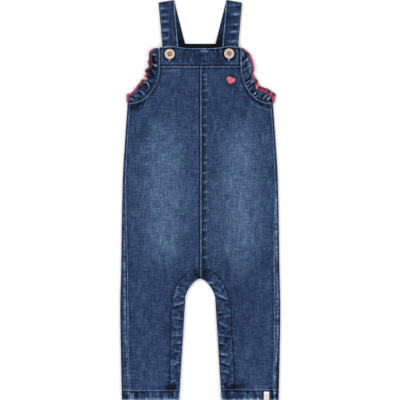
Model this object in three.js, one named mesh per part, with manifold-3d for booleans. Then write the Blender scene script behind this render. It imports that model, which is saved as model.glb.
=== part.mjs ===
// A baby's denim dungarees laid flat on a table, the front on the back and the straps folded over.
// Millimetres, +Z up. X runs across the garment and Y from the hems to the straps. The table is z = 0.
import * as THREE from "three";
import { mergeVertices } from "three/addons/utils/BufferGeometryUtils.js";
import Module from "manifold-3d";

const wasm = await Module();
wasm.setup();

// Thickness of each kind of cloth, and the space between pieces that are sewn or lie together
const DENIM = 1.2;
const HEM_WALL = 1.8;
const BAND_WALL = 2.0;
const STRAP_WALL = 1.8;
const FRILL_WALL = 1.0;
const GAP = 0.3;

// Heights of the garment's main lines
const STRAP_FOLD_Y = 300;
const BACK_TOP_Y = 234.5;
const BAND_TOP_Y = 227.7;
const BAND_SEAM_Y = 201.9;
const UNDERARM_Y = 145.5;
const FACING_TOP_Y = -102.3;
const CROTCH_Y = -118;
const HEM_STITCH_Y = -285;
const HEM_Y = -300;

// Widths of the bib
const BIB_HALF = 62.2;
const BACK_TOP_HALF = 50;
const BACK_BIB_HALF = 60.5;

// Height of the front's upper face where it lies flat, and of the rolled fold at the sides
const FRONT_REST_Z = 3.1;
const FOLD_RADIUS = 2.1;
const FOLD_Z = 2 * FOLD_RADIUS;

// The side from the underarm to the hem: how far out the cloth folds, and how far in from it the seam lies
const SIDES = [
  { y: 145.5, fold: 109.0, seamLeft: 2.4, seamRight: 2.4 },
  { y: 85, fold: 113.2, seamLeft: 2.6, seamRight: 2.4 },
  { y: 35, fold: 116.2, seamLeft: 3.2, seamRight: 3.0 },
  { y: -35, fold: 117.8, seamLeft: 5.5, seamRight: 6.0 },
  { y: -100, fold: 118.7, seamLeft: 8.0, seamRight: 7.2 },
  { y: -160, fold: 120.0, seamLeft: 10.0, seamRight: 7.5 },
  { y: -230, fold: 119.1, seamLeft: 10.0, seamRight: 7.5 },
  { y: -300, fold: 117.6, seamLeft: 11.5, seamRight: 7.8 },
];

// The inside leg is a pointed arch that splays towards the hem. The facing's seam is a rounder arch round it.
const CROTCH = { wide: 20.6, deep: 28, rise: 1.42, round: 0.59, splay: 0.0615 };
const FACING = {
  deep: 60,
  left: { wide: 42.4, splay: 0.02 },
  right: { wide: 42, splay: 0.057 },
};

// Soft swells where the front doesn't lie quite flat: place, direction, half length, half width and height
const SWELLS = [
  { x: -58, y: 96, degrees: 70, long: 46, wide: 22, high: 0.7 },
  { x: 62, y: 80, degrees: 105, long: 52, wide: 20, high: 0.6 },
  { x: -84, y: 8, degrees: 95, long: 55, wide: 16, high: 0.5 },
  { x: 40, y: -22, degrees: 80, long: 50, wide: 18, high: 0.6 },
  { x: -36, y: -64, degrees: 60, long: 38, wide: 14, high: 0.7 },
  { x: 92, y: -70, degrees: 88, long: 46, wide: 14, high: 0.6 },
  { x: -82, y: -176, degrees: 92, long: 44, wide: 16, high: 0.8 },
  { x: 80, y: -196, degrees: 86, long: 48, wide: 18, high: 0.8 },
];

// Straps: the fold lies square to the line midway between the two directions that the strap takes from it
const STRAP = { half: 12, foldX: 50.6, frontDegrees: 5, backDegrees: 14, frontEnd: 207, backEnd: 226 };
const STRAP_CLIMB = { from: 247, to: 236 };
const STRAP_ROUNDING = { at: 0.9, high: 0.35 };

// The band at the top of the bib rises over the strap ends that lie under it
const BAND_MIDDLE_Z = 5.2;
const BAND_STRAP_Z = 7.7;
const BAND_RISE = { from: 14, to: 29, fallFrom: 58, fallTo: BIB_HALF, fallShare: 0.5 };
const BAND_WAVE = { x: 45, wide: 16, high: 3.2 };

// Frills: distance down the armhole, how far the free edge stands out there, and how high it waves
const FRILL_LEFT = [
  { at: 0, reach: 6.0, lift: 0.8 },
  { at: 3.5, reach: 11.2, lift: 2.6 },
  { at: 8, reach: 13.4, lift: 3.2 },
  { at: 15, reach: 13.5, lift: -1.8 },
  { at: 21.5, reach: 15.2, lift: 3.0 },
  { at: 27.5, reach: 13.6, lift: -2.2 },
  { at: 33, reach: 16.6, lift: 3.2 },
  { at: 38.5, reach: 19.3, lift: -2.2 },
  { at: 44.5, reach: 16.4, lift: 3.0 },
  { at: 49.5, reach: 18.4, lift: -2.2 },
  { at: 54, reach: 15.8, lift: 2.8 },
  { at: 62, reach: 19.9, lift: 1.6 },
  { at: 72, reach: 20.7, lift: 0.2 },
  { at: 82, reach: 20.4, lift: -1.2 },
  { at: 90, reach: 18.3, lift: 2.0 },
  { at: 98, reach: 15.2, lift: -1.2 },
  { at: 108.5, reach: 12.3, lift: 1.0 },
];
const FRILL_RIGHT = [
  { at: 0, reach: 2.6, lift: 0.6 },
  { at: 4, reach: 8.2, lift: 1.8 },
  { at: 9, reach: 12.9, lift: 2.8 },
  { at: 18, reach: 16.8, lift: 0.8 },
  { at: 27, reach: 18.6, lift: 3.0 },
  { at: 34, reach: 19.0, lift: 0.4 },
  { at: 41, reach: 16.3, lift: -2.2 },
  { at: 48, reach: 16.8, lift: 2.8 },
  { at: 55, reach: 18.0, lift: 0.8 },
  { at: 61, reach: 19.2, lift: -2.2 },
  { at: 69, reach: 17.0, lift: 2.8 },
  { at: 75, reach: 17.4, lift: -2.2 },
  { at: 81, reach: 19.0, lift: 2.8 },
  { at: 87, reach: 19.8, lift: -2.0 },
  { at: 93, reach: 20.8, lift: 2.8 },
  { at: 99, reach: 19.6, lift: -1.6 },
  { at: 104, reach: 16.6, lift: 2.4 },
  { at: 108.5, reach: 12.6, lift: 0.8 },
];
const FRILL_STEPS = 66;
const FRILL_ACROSS = [
  { share: 0, wall: 1.0 },
  { share: 0.32, wall: 1.0 },
  { share: 0.64, wall: 1.0 },
  { share: 0.9, wall: 1.05 },
  { share: 1, wall: 1.6 },
];
// Small gathers along the frill's seam, which die away towards the free edge
const GATHERS = { pitch: 8.2, high: 0.45, share: 0.3, spread: 0.3 };
const FRILL_SEAM_GAP = 0.5;
const FRILL_END = { left: { past: 3.2, fan: 0 }, right: { past: 4.3, fan: 2.6 } };

// Puckers that the facing's hard wash leaves across it
const PUCKER = { pitch: 11.5, high: 0.35, steps: 4 };

const BUTTON = { radius: 7.6, thick: 3.0, holeRadius: 0.85, holeAt: 1.6, sides: 26 };
const BUTTONS = [
  { name: "button_left", x: -45.8, y: 218.7, turn: 19 },
  { name: "button_right", x: 43.3, y: 219.4, turn: -29 },
];
// The heart's plumpness is how far its outline goes from a plain heart towards a circle
const HEART = { x: 45.5, y: 179.5, wide: 12.8, tilt: -20, plump: 0.35, thick: 0.9, spokes: 30 };
const LABEL = { x: 99.7, wide: 8, top: -287.2, bottom: -299.6, thick: 0.6 };

// How many rows of cloth lie in each part of the body
const ROWS = { bib: 9, torso: 9, crotch: 7, leg: 5 };
const HEM_ROWS = [HEM_STITCH_Y, HEM_STITCH_Y - 1.5, HEM_Y + 1.5, HEM_Y];
const LEG_END_Y = HEM_STITCH_Y + 1.5;

const COLOURS = {
  denim: 0x30456a,
  denimDark: 0x2a3b5c,
  inside: 0x3d5576,
  frill: 0x2f4c69,
  wood: 0xd8c3a0,
  coral: 0xdb6a7c,
  tape: 0xe9d9d6,
};

const lerp = THREE.MathUtils.lerp;
const smooth = (value, from, to) => {
  const share = THREE.MathUtils.clamp((value - from) / (to - from), 0, 1);
  return share * share * (3 - 2 * share);
};
const radians = THREE.MathUtils.degToRad;

// One column of a table at any place, as a smooth curve through the table's rows.
function read(table, place, column, at) {
  const rising = table[0][place] < table[1][place];
  const last = table.length - 1;
  let i = table.findIndex((row) => (rising ? row[place] >= at : row[place] <= at));
  i = i < 0 ? last : Math.max(1, i);
  const [a, b] = [table[i - 1], table[i]];
  const [before, after] = [table[Math.max(0, i - 2)], table[Math.min(last, i + 1)]];
  const span = b[place] - a[place];
  const slopeA = ((b[column] - before[column]) / (b[place] - before[place])) * span;
  const slopeB = ((after[column] - a[column]) / (after[place] - a[place])) * span;
  const t = THREE.MathUtils.clamp((at - a[place]) / span, 0, 1);
  const [t2, t3] = [t * t, t * t * t];
  const start = (2 * t3 - 3 * t2 + 1) * a[column] + (t3 - 2 * t2 + t) * slopeA;
  return start + (3 * t2 - 2 * t3) * b[column] + (t3 - t2) * slopeB;
}

const foldAt = (y) => read(SIDES, "y", "fold", y);
const seamInset = (y, side) => read(SIDES, "y", side < 0 ? "seamLeft" : "seamRight", y);

// Half the space between the legs, at a height below the crotch.
function insideLeg(y) {
  const down = CROTCH_Y - y;
  const arch = 1 - Math.max(0, 1 - down / CROTCH.deep) ** CROTCH.rise;
  return CROTCH.wide * arch ** CROTCH.round + CROTCH.splay * down;
}

// Distance from the middle to the facing's seam.
function facingSeam(y, side) {
  const { wide, splay } = side < 0 ? FACING.left : FACING.right;
  const down = FACING_TOP_Y - y;
  const left = Math.max(0, 1 - down / FACING.deep);
  return wide * Math.sqrt(1 - left * left) + splay * down;
}

// Quarter ellipse from the bib's side, at turn 0, to the underarm, at turn 1.
function armhole(turn, top, underarm) {
  const angle = radians(90 * turn);
  return [
    underarm[0] - (underarm[0] - top[0]) * Math.cos(angle),
    top[1] - (top[1] - underarm[1]) * Math.sin(angle),
  ];
}

const frontUnderarm = (side) => [foldAt(UNDERARM_Y) - seamInset(UNDERARM_Y, side) - GAP / 2, UNDERARM_Y];
const frontArmTop = [BIB_HALF, BAND_SEAM_Y - GAP / 2];

// Length of cloth from the middle of the back, round the side fold, to the side seam on the front.
const roundToSeam = (y, side) => foldAt(y) + (Math.PI - 2) * FOLD_RADIUS + seamInset(y, side) - GAP / 2;

// Each row of cloth on one side, from the bib down to the hem: where it leaves the middle of the front and of
// the back, and where it meets the side on the front and, laid out flat, on the back.
function rowsOfCloth(side) {
  const rows = [];
  const beside = (y) => [foldAt(y) - seamInset(y, side) - GAP / 2, y];
  const round = (y) => [roundToSeam(y, side), y];
  const middle = GAP / 2;
  const bibEnd = UNDERARM_Y - 6;
  const sideAtCrotch = CROTCH_Y + 12;
  const sideUnderFacing = CROTCH_Y - 48;
  for (let k = 0; k <= ROWS.bib; k++) {
    const t = k / ROWS.bib;
    const y = lerp(BAND_SEAM_Y - GAP / 2, bibEnd, t);
    rows.push({
      frontIn: [middle, y],
      backIn: [middle, y],
      frontOut: armhole(t, frontArmTop, frontUnderarm(side)),
      backOut: armhole(t, [BACK_BIB_HALF, BAND_SEAM_Y], round(UNDERARM_Y)),
    });
  }
  for (let k = 1; k <= ROWS.torso; k++) {
    const t = k / ROWS.torso;
    const y = lerp(UNDERARM_Y, sideAtCrotch, t);
    rows.push({
      frontIn: [middle, lerp(bibEnd, FACING_TOP_Y + GAP / 2, t)],
      backIn: [middle, lerp(bibEnd, CROTCH_Y, t)],
      frontOut: beside(y),
      backOut: round(y),
    });
  }
  const facingRow = (facingY, edgeY, y) => {
    const seam = [facingSeam(facingY, side), facingY];
    const edge = [insideLeg(edgeY), edgeY];
    const away = new THREE.Vector2(seam[0] - edge[0], seam[1] - edge[1]).setLength(GAP / 2);
    rows.push({
      frontIn: [Math.max(middle, seam[0] + away.x), seam[1] + away.y],
      facingOut: [Math.max(middle, seam[0] - away.x), seam[1] - away.y],
      facingIn: [Math.max(middle, edge[0]), edge[1]],
      backIn: [Math.max(middle, edge[0] + GAP), edge[1]],
      frontOut: beside(y),
      backOut: round(y),
    });
  };
  const edgeAtArchEnd = CROTCH_Y - 32;
  Object.assign(rows[rows.length - 1], {
    facingOut: [middle, FACING_TOP_Y - GAP / 2],
    facingIn: [middle, CROTCH_Y],
  });
  for (let k = 1; k <= ROWS.crotch; k++) {
    const t = k / ROWS.crotch;
    const facingY = FACING_TOP_Y - FACING.deep * (1 - Math.cos(radians(90 * t)));
    facingRow(facingY, lerp(CROTCH_Y, edgeAtArchEnd, t ** 1.7), lerp(sideAtCrotch, sideUnderFacing, t));
  }
  for (let k = 1; k <= ROWS.leg; k++) {
    const t = k / ROWS.leg;
    facingRow(
      lerp(FACING_TOP_Y - FACING.deep, LEG_END_Y, t),
      lerp(edgeAtArchEnd, LEG_END_Y, t),
      lerp(sideUnderFacing, LEG_END_Y, t),
    );
  }
  HEM_ROWS.forEach((y) => facingRow(y, y, y));
  return rows;
}

// Height of the band's upper face across the bib.
function bandHeight(x) {
  const across = Math.abs(x);
  const rise = smooth(across, BAND_RISE.from, BAND_RISE.to);
  const fall = 1 - BAND_RISE.fallShare * smooth(across, BAND_RISE.fallFrom, BAND_RISE.fallTo);
  return BAND_MIDDLE_Z + (BAND_STRAP_Z - BAND_MIDDLE_Z) * rise * fall;
}

// Height of the band's top edge, which the straps lift a little.
function bandTop(x) {
  const across = (Math.abs(x) - BAND_WAVE.x) / BAND_WAVE.wide;
  return BAND_TOP_Y + BAND_WAVE.high * Math.exp(-(across ** 2));
}

// How far a point of the front is from the side seam or the armhole.
function fromEdge(x, y, side) {
  const [outX, outY] = frontUnderarm(side);
  const reach = Math.hypot((outX - x) / (outX - BIB_HALF), (frontArmTop[1] - y) / (frontArmTop[1] - outY));
  const armDistance = Math.max(0, (reach - 1) * 50);
  const sideDistance = Math.max(0, foldAt(y) - seamInset(y, side) - x);
  return y > UNDERARM_Y ? armDistance : Math.min(armDistance, sideDistance);
}

// Height of the front's upper face. x is the distance from the middle.
function frontHeight(x, y, side) {
  let z = FRONT_REST_Z;
  for (const swell of SWELLS.filter((s) => Math.sign(s.x) === side)) {
    const turned = new THREE.Vector2(x * side - swell.x, y - swell.y);
    turned.rotateAround(new THREE.Vector2(), -radians(swell.degrees));
    z += swell.high * Math.exp(-((turned.x / swell.long) ** 2) - (turned.y / swell.wide) ** 2);
  }
  z += (FOLD_Z - FRONT_REST_Z) * Math.exp(-fromEdge(x, y, side) / 14);
  z = lerp(z, Math.max(z, bandHeight(x) - 0.4), smooth(y, 148, BAND_SEAM_Y));
  return lerp(z, FOLD_Z, smooth(y, -262, LEG_END_Y));
}

// A mesh from points and triangles, turned inside out if its faces point in.
function closedMesh(name, colour, points, faces) {
  let volume = 0;
  for (let i = 0; i < faces.length; i += 3) {
    const [a, b, c] = [points[faces[i]], points[faces[i + 1]], points[faces[i + 2]]];
    volume += a.dot(new THREE.Vector3().crossVectors(b, c));
  }
  const index = volume < 0 ? [...faces].reverse() : faces;
  const geometry = new THREE.BufferGeometry().setFromPoints(points).setIndex(index);
  return namedMesh(name, colour, geometry);
}

function namedMesh(name, colour, geometry, roughness = 0.9) {
  geometry.computeVertexNormals();
  const material = new THREE.MeshStandardMaterial({ color: colour, roughness, metalness: 0 });
  const mesh = new THREE.Mesh(geometry, material);
  mesh.name = name;
  return mesh;
}

// The closed wall between two grids of points, such as a cloth's outer and inner face.
function wallBetween(name, colour, outer, inner) {
  const rows = outer.length;
  const columns = outer[0].length;
  const points = [...outer.flat(), ...inner.flat()];
  const faces = [];
  const at = (layer, row, column) => (layer * rows + row) * columns + column;
  const quad = (a, b, c, d) => faces.push(a, b, c, a, c, d);
  for (let r = 0; r + 1 < rows; r++)
    for (let c = 0; c + 1 < columns; c++) {
      quad(at(0, r, c), at(0, r, c + 1), at(0, r + 1, c + 1), at(0, r + 1, c));
      quad(at(1, r, c), at(1, r + 1, c), at(1, r + 1, c + 1), at(1, r, c + 1));
    }
  for (let r = 0; r + 1 < rows; r++) {
    quad(at(0, r, 0), at(0, r + 1, 0), at(1, r + 1, 0), at(1, r, 0));
    const last = columns - 1;
    quad(at(0, r, last), at(1, r, last), at(1, r + 1, last), at(0, r + 1, last));
  }
  for (let c = 0; c + 1 < columns; c++) {
    quad(at(0, 0, c), at(1, 0, c), at(1, 0, c + 1), at(0, 0, c + 1));
    quad(at(0, rows - 1, c), at(0, rows - 1, c + 1), at(1, rows - 1, c + 1), at(1, rows - 1, c));
  }
  return closedMesh(name, colour, points, faces);
}

// The points a given distance along a straight row, with the row's own sides as its ends.
const along = (from, to, distance, length) => [
  lerp(from[0], to[0], distance / length),
  lerp(from[1], to[1], distance / length),
];

const rowLength = (from, to) => Math.hypot(to[0] - from[0], to[1] - from[1]);

// How thick the front or back is at a height, with its hem turned up inside.
const wallAt = (y) => lerp(HEM_WALL, DENIM, smooth(y, HEM_STITCH_Y - 1, HEM_STITCH_Y + 1));

// A front panel. The right one carries the middle seam's allowance, pressed flat beside the seam.
function frontPanel(name, side, rows) {
  const allowance = side > 0 ? 0.6 : 0.1;
  const outer = rows.map(({ frontIn, frontOut }) => {
    const length = rowLength(frontIn, frontOut);
    const middle = [0.3, 0.5, 0.7].map((share) => share * length);
    const stops = [0, 1.2, 7, 8.5, ...middle, length - 7, length - 1.2, length];
    return stops.map((distance) => {
      const [x, y] = along(frontIn, frontOut, distance, length);
      const ends = distance < 0.1 || distance > length - 0.1 ? 0.3 : 0;
      const besideSeam = y > FACING_TOP_Y && distance > 0.1 && distance < 8 ? allowance : 0;
      const stitched = Math.abs(y - HEM_STITCH_Y) < 0.1 ? 0.4 : 0;
      const turned = Math.abs(y - HEM_Y) < 0.1 ? 0.4 : 0;
      const height = frontHeight(x, y, side) + besideSeam;
      return new THREE.Vector3(side * x, y, height - ends - stitched - turned);
    });
  });
  const inner = outer.map((row) => row.map((p) => new THREE.Vector3(p.x, p.y, p.z - wallAt(p.y))));
  return wallBetween(name, COLOURS.denim, outer, inner);
}

// A point of the back, given where it would lie if the cloth were flat and how far inside the wall it is.
function rolled(u, y, inside, side) {
  const start = foldAt(Math.min(y, UNDERARM_Y)) - FOLD_RADIUS;
  const turn = Math.max(0, u - start) / FOLD_RADIUS;
  if (turn === 0) return new THREE.Vector3(side * u, y, inside);
  const angle = Math.min(turn, Math.PI);
  const radius = FOLD_RADIUS - inside;
  const back = Math.max(0, u - start - Math.PI * FOLD_RADIUS);
  const x = start + radius * Math.sin(angle) - back;
  return new THREE.Vector3(side * x, y, FOLD_RADIUS - radius * Math.cos(angle));
}

// A back panel, which lies on the table and rolls round the side to meet the front.
function backPanel(name, side, rows) {
  const wrap = Math.PI * FOLD_RADIUS;
  const topRows = [
    { backIn: [GAP / 2, BACK_TOP_Y], backOut: [BACK_TOP_HALF, BACK_TOP_Y] },
    { backIn: [GAP / 2, BACK_TOP_Y - 14], backOut: [BACK_TOP_HALF + 5.5, BACK_TOP_Y - 14] },
  ];
  const flat = [...topRows, ...rows].map(({ backIn, backOut }) => {
    const length = rowLength(backIn, backOut);
    const inset = Math.max(0.4, seamInset(backOut[1], side) - GAP / 2 - FOLD_RADIUS);
    const foldStart = length - wrap - inset;
    const stops = [0, 0.25, 0.5, 0.75, 1].map((share) => share * foldStart);
    stops.push(...[0.2, 0.4, 0.6, 0.8, 1].map((share) => foldStart + share * wrap), length);
    return stops.map((distance) => along(backIn, backOut, distance, length));
  });
  const face = (inside) => flat.map((row) => row.map(([u, y]) => rolled(u, y, inside(y), side)));
  return wallBetween(name, COLOURS.denimDark, face(() => 0), face(wallAt));
}

// The doubled facing along the inside leg, puckered by its stitching.
function legFacing(name, side, rows) {
  const bounds = rows.filter((row) => row.facingIn);
  const fine = [];
  bounds.forEach((row, i) => {
    const next = bounds[i + 1];
    if (!next) return fine.push(row);
    for (let k = 0; k < PUCKER.steps; k++) {
      const t = k / PUCKER.steps;
      fine.push({
        facingIn: along(row.facingIn, next.facingIn, t, 1),
        facingOut: along(row.facingOut, next.facingOut, t, 1),
      });
    }
  });
  let run = 0;
  const outer = fine.map(({ facingIn, facingOut }, i) => {
    if (i > 0) run += rowLength(fine[i - 1].facingIn, facingIn);
    const length = rowLength(facingIn, facingOut);
    const pucker = PUCKER.high * Math.sin((2 * Math.PI * run) / PUCKER.pitch);
    return [0, 1.4, 0.5 * length, length - 1.2, length].map((distance) => {
      const [x, y] = along(facingIn, facingOut, distance, length);
      const edge = distance < 0.1 ? 0.7 : distance > length - 0.1 ? 0.35 : -pucker;
      const stitched = Math.abs(y - HEM_STITCH_Y) < 0.1 ? 0.35 : 0;
      const flatness = smooth(y, LEG_END_Y, LEG_END_Y + 14);
      const height = lerp(FOLD_Z, FRONT_REST_Z + 0.65, flatness);
      return new THREE.Vector3(side * x, y, height - edge - stitched);
    });
  });
  const inner = outer.map((row) => row.map((p) => new THREE.Vector3(p.x, p.y, p.z - HEM_WALL + 0.2)));
  return wallBetween(name, COLOURS.denim, outer, inner);
}

// The band along the top of the bib.
function bibBand(name) {
  const half = [5, 14, 22, 27, 32, 40, 50, 57, 60.6, BIB_HALF];
  const across = [...half.map((x) => -x).reverse(), ...half];
  const rows = [
    { share: 0, dip: 0.35 },
    { share: 0.06, dip: 0 },
    { share: 0.5, dip: 0 },
    { share: 0.9, dip: 0 },
    { share: 1, dip: 0.6 },
  ];
  const bottom = BAND_SEAM_Y + GAP / 2;
  const outer = rows.map(({ share, dip }) =>
    across.map((x) => {
      const end = Math.abs(x) > BIB_HALF - 0.1 ? 0.4 : 0;
      return new THREE.Vector3(x, lerp(bottom, bandTop(x), share), bandHeight(x) - dip - end);
    }),
  );
  const under = (p) => new THREE.Vector3(p.x, p.y, bandHeight(p.x) - BAND_WALL);
  const inner = outer.map((row) => row.map(under));
  return wallBetween(name, COLOURS.denim, outer, inner);
}

// A strap runs up from the back, folds over and comes down the front to lie under the band.
function strap(name, side) {
  const foldSlope = radians((STRAP.frontDegrees + STRAP.backDegrees) / 2);
  const edgeways = new THREE.Vector3(-side * Math.cos(foldSlope), Math.sin(foldSlope), 0);
  const outwards = new THREE.Vector3(side * Math.sin(foldSlope), Math.cos(foldSlope), 0);
  const turnRadius = (STRAP_WALL + GAP) / 2;
  const outerRadius = turnRadius + STRAP_WALL / 2;
  const highest = STRAP_ROUNDING.at * STRAP.half * Math.sin(foldSlope) + outerRadius * Math.cos(foldSlope);
  const foldY = STRAP_FOLD_Y - highest;
  const backZ = (y) => STRAP_WALL / 2 + (DENIM + GAP) * smooth(-y, -STRAP_CLIMB.from, -STRAP_CLIMB.to);
  const path = [];
  const leg = (heights, degrees, layer) =>
    heights.forEach((y) => {
      const x = STRAP.foldX - (foldY - y) * Math.tan(radians(degrees));
      const z = backZ(y) + layer * 2 * turnRadius;
      path.push({ at: new THREE.Vector3(side * x, y, z), up: new THREE.Vector3(0, 0, layer ? 1 : -1) });
    });
  const stops = [STRAP_CLIMB.to, 239.5, 243.5, STRAP_CLIMB.from, 270];
  leg([STRAP.backEnd, ...stops], STRAP.backDegrees, 0);
  const turns = 8;
  for (let k = 0; k <= turns; k++) {
    const angle = Math.PI * (k / turns - 0.5);
    const up = outwards.clone().multiplyScalar(Math.cos(angle)).setZ(Math.sin(angle));
    const centre = new THREE.Vector3(side * STRAP.foldX, foldY, STRAP_WALL / 2 + turnRadius);
    path.push({ at: centre.addScaledVector(up, turnRadius), up });
  }
  leg([...stops.reverse(), STRAP.frontEnd], STRAP.frontDegrees, 1);
  const shares = [-1, -STRAP_ROUNDING.at, 0, STRAP_ROUNDING.at, 1];
  const face = (out) =>
    path.map(({ at, up }) =>
      shares.map((share) => {
        const rounding = Math.abs(share) === 1 ? STRAP_ROUNDING.high : 0;
        return at
          .clone()
          .addScaledVector(edgeways, share * STRAP.half)
          .addScaledVector(up, out * (STRAP_WALL / 2 - rounding));
      }),
    );
  return wallBetween(name, COLOURS.denim, face(1), face(-1));
}

// A frill stands out from the armhole's seam, gathered into waves.
function frill(name, side, table) {
  const underarm = frontUnderarm(side);
  const bandSide = bandTop(BIB_HALF) - 1 - frontArmTop[1];
  const quarter = [];
  for (let k = 0; k <= 200; k++) quarter.push(armhole(k / 200, frontArmTop, underarm));
  const runs = quarter.map((p, i) => (i ? rowLength(quarter[i - 1], p) : 0));
  const end = side < 0 ? FRILL_END.left : FRILL_END.right;
  const total = bandSide + runs.reduce((sum, run) => sum + run, 0) + end.past;

  const seam = (distance) => {
    let left = distance - bandSide;
    if (left <= 0) return { x: BIB_HALF, y: frontArmTop[1] - left, turn: 0 };
    let i = 1;
    while (i < quarter.length && left > runs[i]) left -= runs[i++];
    if (i === quarter.length) return { x: underarm[0] + left, y: underarm[1], turn: 1 };
    const [x, y] = along(quarter[i - 1], quarter[i], left, runs[i]);
    return { x, y, turn: (i - 1 + left / runs[i]) / 200 };
  };
  const point = (distance, share) => {
    const { x, y, turn } = seam(distance);
    const angle = radians(90 * turn);
    const [outX, outY] = [Math.cos(angle), Math.sin(angle)];
    const at = (distance / total) * table[table.length - 1].at;
    const reach = read(table, "at", "reach", at) * share + FRILL_SEAM_GAP;
    const onBand = distance < bandSide;
    const seamZ = onBand ? bandHeight(BIB_HALF) - BAND_WALL / 2 : frontHeight(x, y, side) - DENIM / 2;
    const lift = read(table, "at", "lift", at) * share ** 1.15;
    const spread = Math.exp(-(((share - GATHERS.share) / GATHERS.spread) ** 2));
    const wave = Math.sin((2 * Math.PI * distance) / GATHERS.pitch);
    const gather = GATHERS.high * spread * smooth(share, 0, GATHERS.share) * wave;
    const fan = end.fan * share * smooth(distance, total - 14, total);
    const z = lerp(seamZ, seamZ * 0.9, share) + lift + gather;
    return new THREE.Vector3(side * (x + outX * reach + fan), y + outY * reach, z);
  };
  const small = 0.02;
  const face = (out) => {
    const grid = [];
    for (let k = 0; k <= FRILL_STEPS; k++) {
      const distance = lerp(small, total - small, k / FRILL_STEPS);
      grid.push(
        FRILL_ACROSS.map(({ share, wall }) => {
          const alongSeam = point(distance + small, share).sub(point(distance - small, share));
          const outward = point(distance, share + small).sub(point(distance, share));
          const normal = new THREE.Vector3().crossVectors(alongSeam, outward).normalize();
          if (normal.z < 0) normal.negate();
          return point(distance, share).addScaledVector(normal, (out * FRILL_WALL * wall) / 2);
        }),
      );
    }
    return grid;
  };
  return wallBetween(name, COLOURS.frill, face(1), face(-1));
}

// A solid of the boolean library from a geometry.
function solidFrom(geometry) {
  const bare = new THREE.BufferGeometry().setAttribute("position", geometry.getAttribute("position"));
  const merged = mergeVertices(geometry.index ? bare.setIndex(geometry.index) : bare, 1e-4);
  const triVerts = new Uint32Array(merged.index.array);
  const vertProperties = new Float32Array(merged.attributes.position.array);
  return new wasm.Manifold(new wasm.Mesh({ numProp: 3, vertProperties, triVerts }));
}

function geometryFrom(solid) {
  const { vertProperties, triVerts } = solid.getMesh();
  return new THREE.BufferGeometry()
    .setAttribute("position", new THREE.BufferAttribute(vertProperties, 3))
    .setIndex(new THREE.BufferAttribute(triVerts, 1));
}

// A wooden button with a raised rim, a shallow dish and four holes.
function button({ name, x, y, turn }) {
  const { radius, thick, holeRadius, holeAt, sides } = BUTTON;
  const profile = [
    [0, 0],
    [radius - 1.1, 0],
    [radius, 0.9],
    [radius, 1.9],
    [radius - 0.7, thick - 0.1],
    [radius - 1.6, thick],
    [radius - 2.8, thick - 0.7],
    [0, thick - 0.9],
  ].map(([r, z]) => new THREE.Vector2(r, z));
  const disc = new THREE.LatheGeometry(profile, sides).rotateX(Math.PI / 2);
  let solid = solidFrom(disc);
  for (const [right, up] of [[1, 1], [1, -1], [-1, 1], [-1, -1]]) {
    const hole = new THREE.CylinderGeometry(holeRadius, holeRadius, 3 * thick, 8)
      .rotateX(Math.PI / 2)
      .translate(right * holeAt, up * holeAt, 0);
    solid = solid.subtract(solidFrom(hole));
  }
  solid = solid.rotate([0, 0, turn]);
  const mesh = namedMesh(name, COLOURS.wood, geometryFrom(solid), 0.5);
  mesh.position.set(x, y, BAND_STRAP_Z + GAP);
  return mesh;
}

// The height of a panel's own faces at a place, for what lies on it.
function heightOn(panel, x, y) {
  const ray = new THREE.Raycaster(new THREE.Vector3(x, y, 100), new THREE.Vector3(0, 0, -1));
  return ray.intersectObject(panel)[0].point.z;
}

// The sewn heart, which lies on the front's own points and is padded towards its middle.
function heart(name, panel) {
  const shares = [1, 0.75, 0.4];
  const { x: midX, y: midY, wide, tilt, plump, thick, spokes } = HEART;
  const outline = (k) => {
    const t = (2 * Math.PI * k) / spokes;
    const size = wide / 32;
    const curve = 13 * Math.cos(t) - 5 * Math.cos(2 * t) - 2 * Math.cos(3 * t) - Math.cos(4 * t) + 2.5;
    const point = new THREE.Vector2(16 * Math.sin(t) ** 3, curve).multiplyScalar(size);
    point.lerp(new THREE.Vector2(Math.sin(t), Math.cos(t)).multiplyScalar(wide / 2), plump);
    return point.rotateAround(new THREE.Vector2(), radians(tilt));
  };
  const points = [];
  const faces = [];
  const layer = (height) => {
    const start = points.length;
    for (const share of shares)
      for (let k = 0; k < spokes; k++) {
        const p = outline(k).multiplyScalar(share);
        const [x, y] = [midX + p.x, midY + p.y];
        points.push(new THREE.Vector3(x, y, heightOn(panel, x, y) + height(share)));
      }
    points.push(new THREE.Vector3(midX, midY, heightOn(panel, midX, midY) + height(0)));
    return start;
  };
  const lower = layer(() => GAP);
  const upper = layer((share) => GAP + thick * (1 - 0.45 * share ** 3));
  const ring = (start, r, k) => start + r * spokes + (k % spokes);
  const quad = (a, b, c, d) => faces.push(a, b, c, a, c, d);
  for (let k = 0; k < spokes; k++) {
    quad(ring(lower, 0, k), ring(lower, 0, k + 1), ring(upper, 0, k + 1), ring(upper, 0, k));
    for (let r = 0; r + 1 < shares.length; r++) {
      quad(ring(upper, r, k), ring(upper, r, k + 1), ring(upper, r + 1, k + 1), ring(upper, r + 1, k));
      quad(ring(lower, r, k), ring(lower, r + 1, k), ring(lower, r + 1, k + 1), ring(lower, r, k + 1));
    }
    const last = shares.length - 1;
    faces.push(ring(upper, last, k), ring(upper, last, k + 1), upper + shares.length * spokes);
    faces.push(ring(lower, last, k + 1), ring(lower, last, k), lower + shares.length * spokes);
  }
  return closedMesh(name, COLOURS.coral, points, faces);
}

// The small blank tab sewn to the hem.
function hemLabel(name, panel) {
  const { x: midX, wide, top, bottom, thick } = LABEL;
  const face = (height) =>
    [top, lerp(top, bottom, 0.5), bottom].map((y) =>
      [-0.5, 0, 0.5].map((share) => {
        const x = midX + share * wide;
        return new THREE.Vector3(x, y, heightOn(panel, x, y + 0.05) + height);
      }),
    );
  return wallBetween(name, COLOURS.tape, face(GAP + thick), face(GAP));
}

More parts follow.
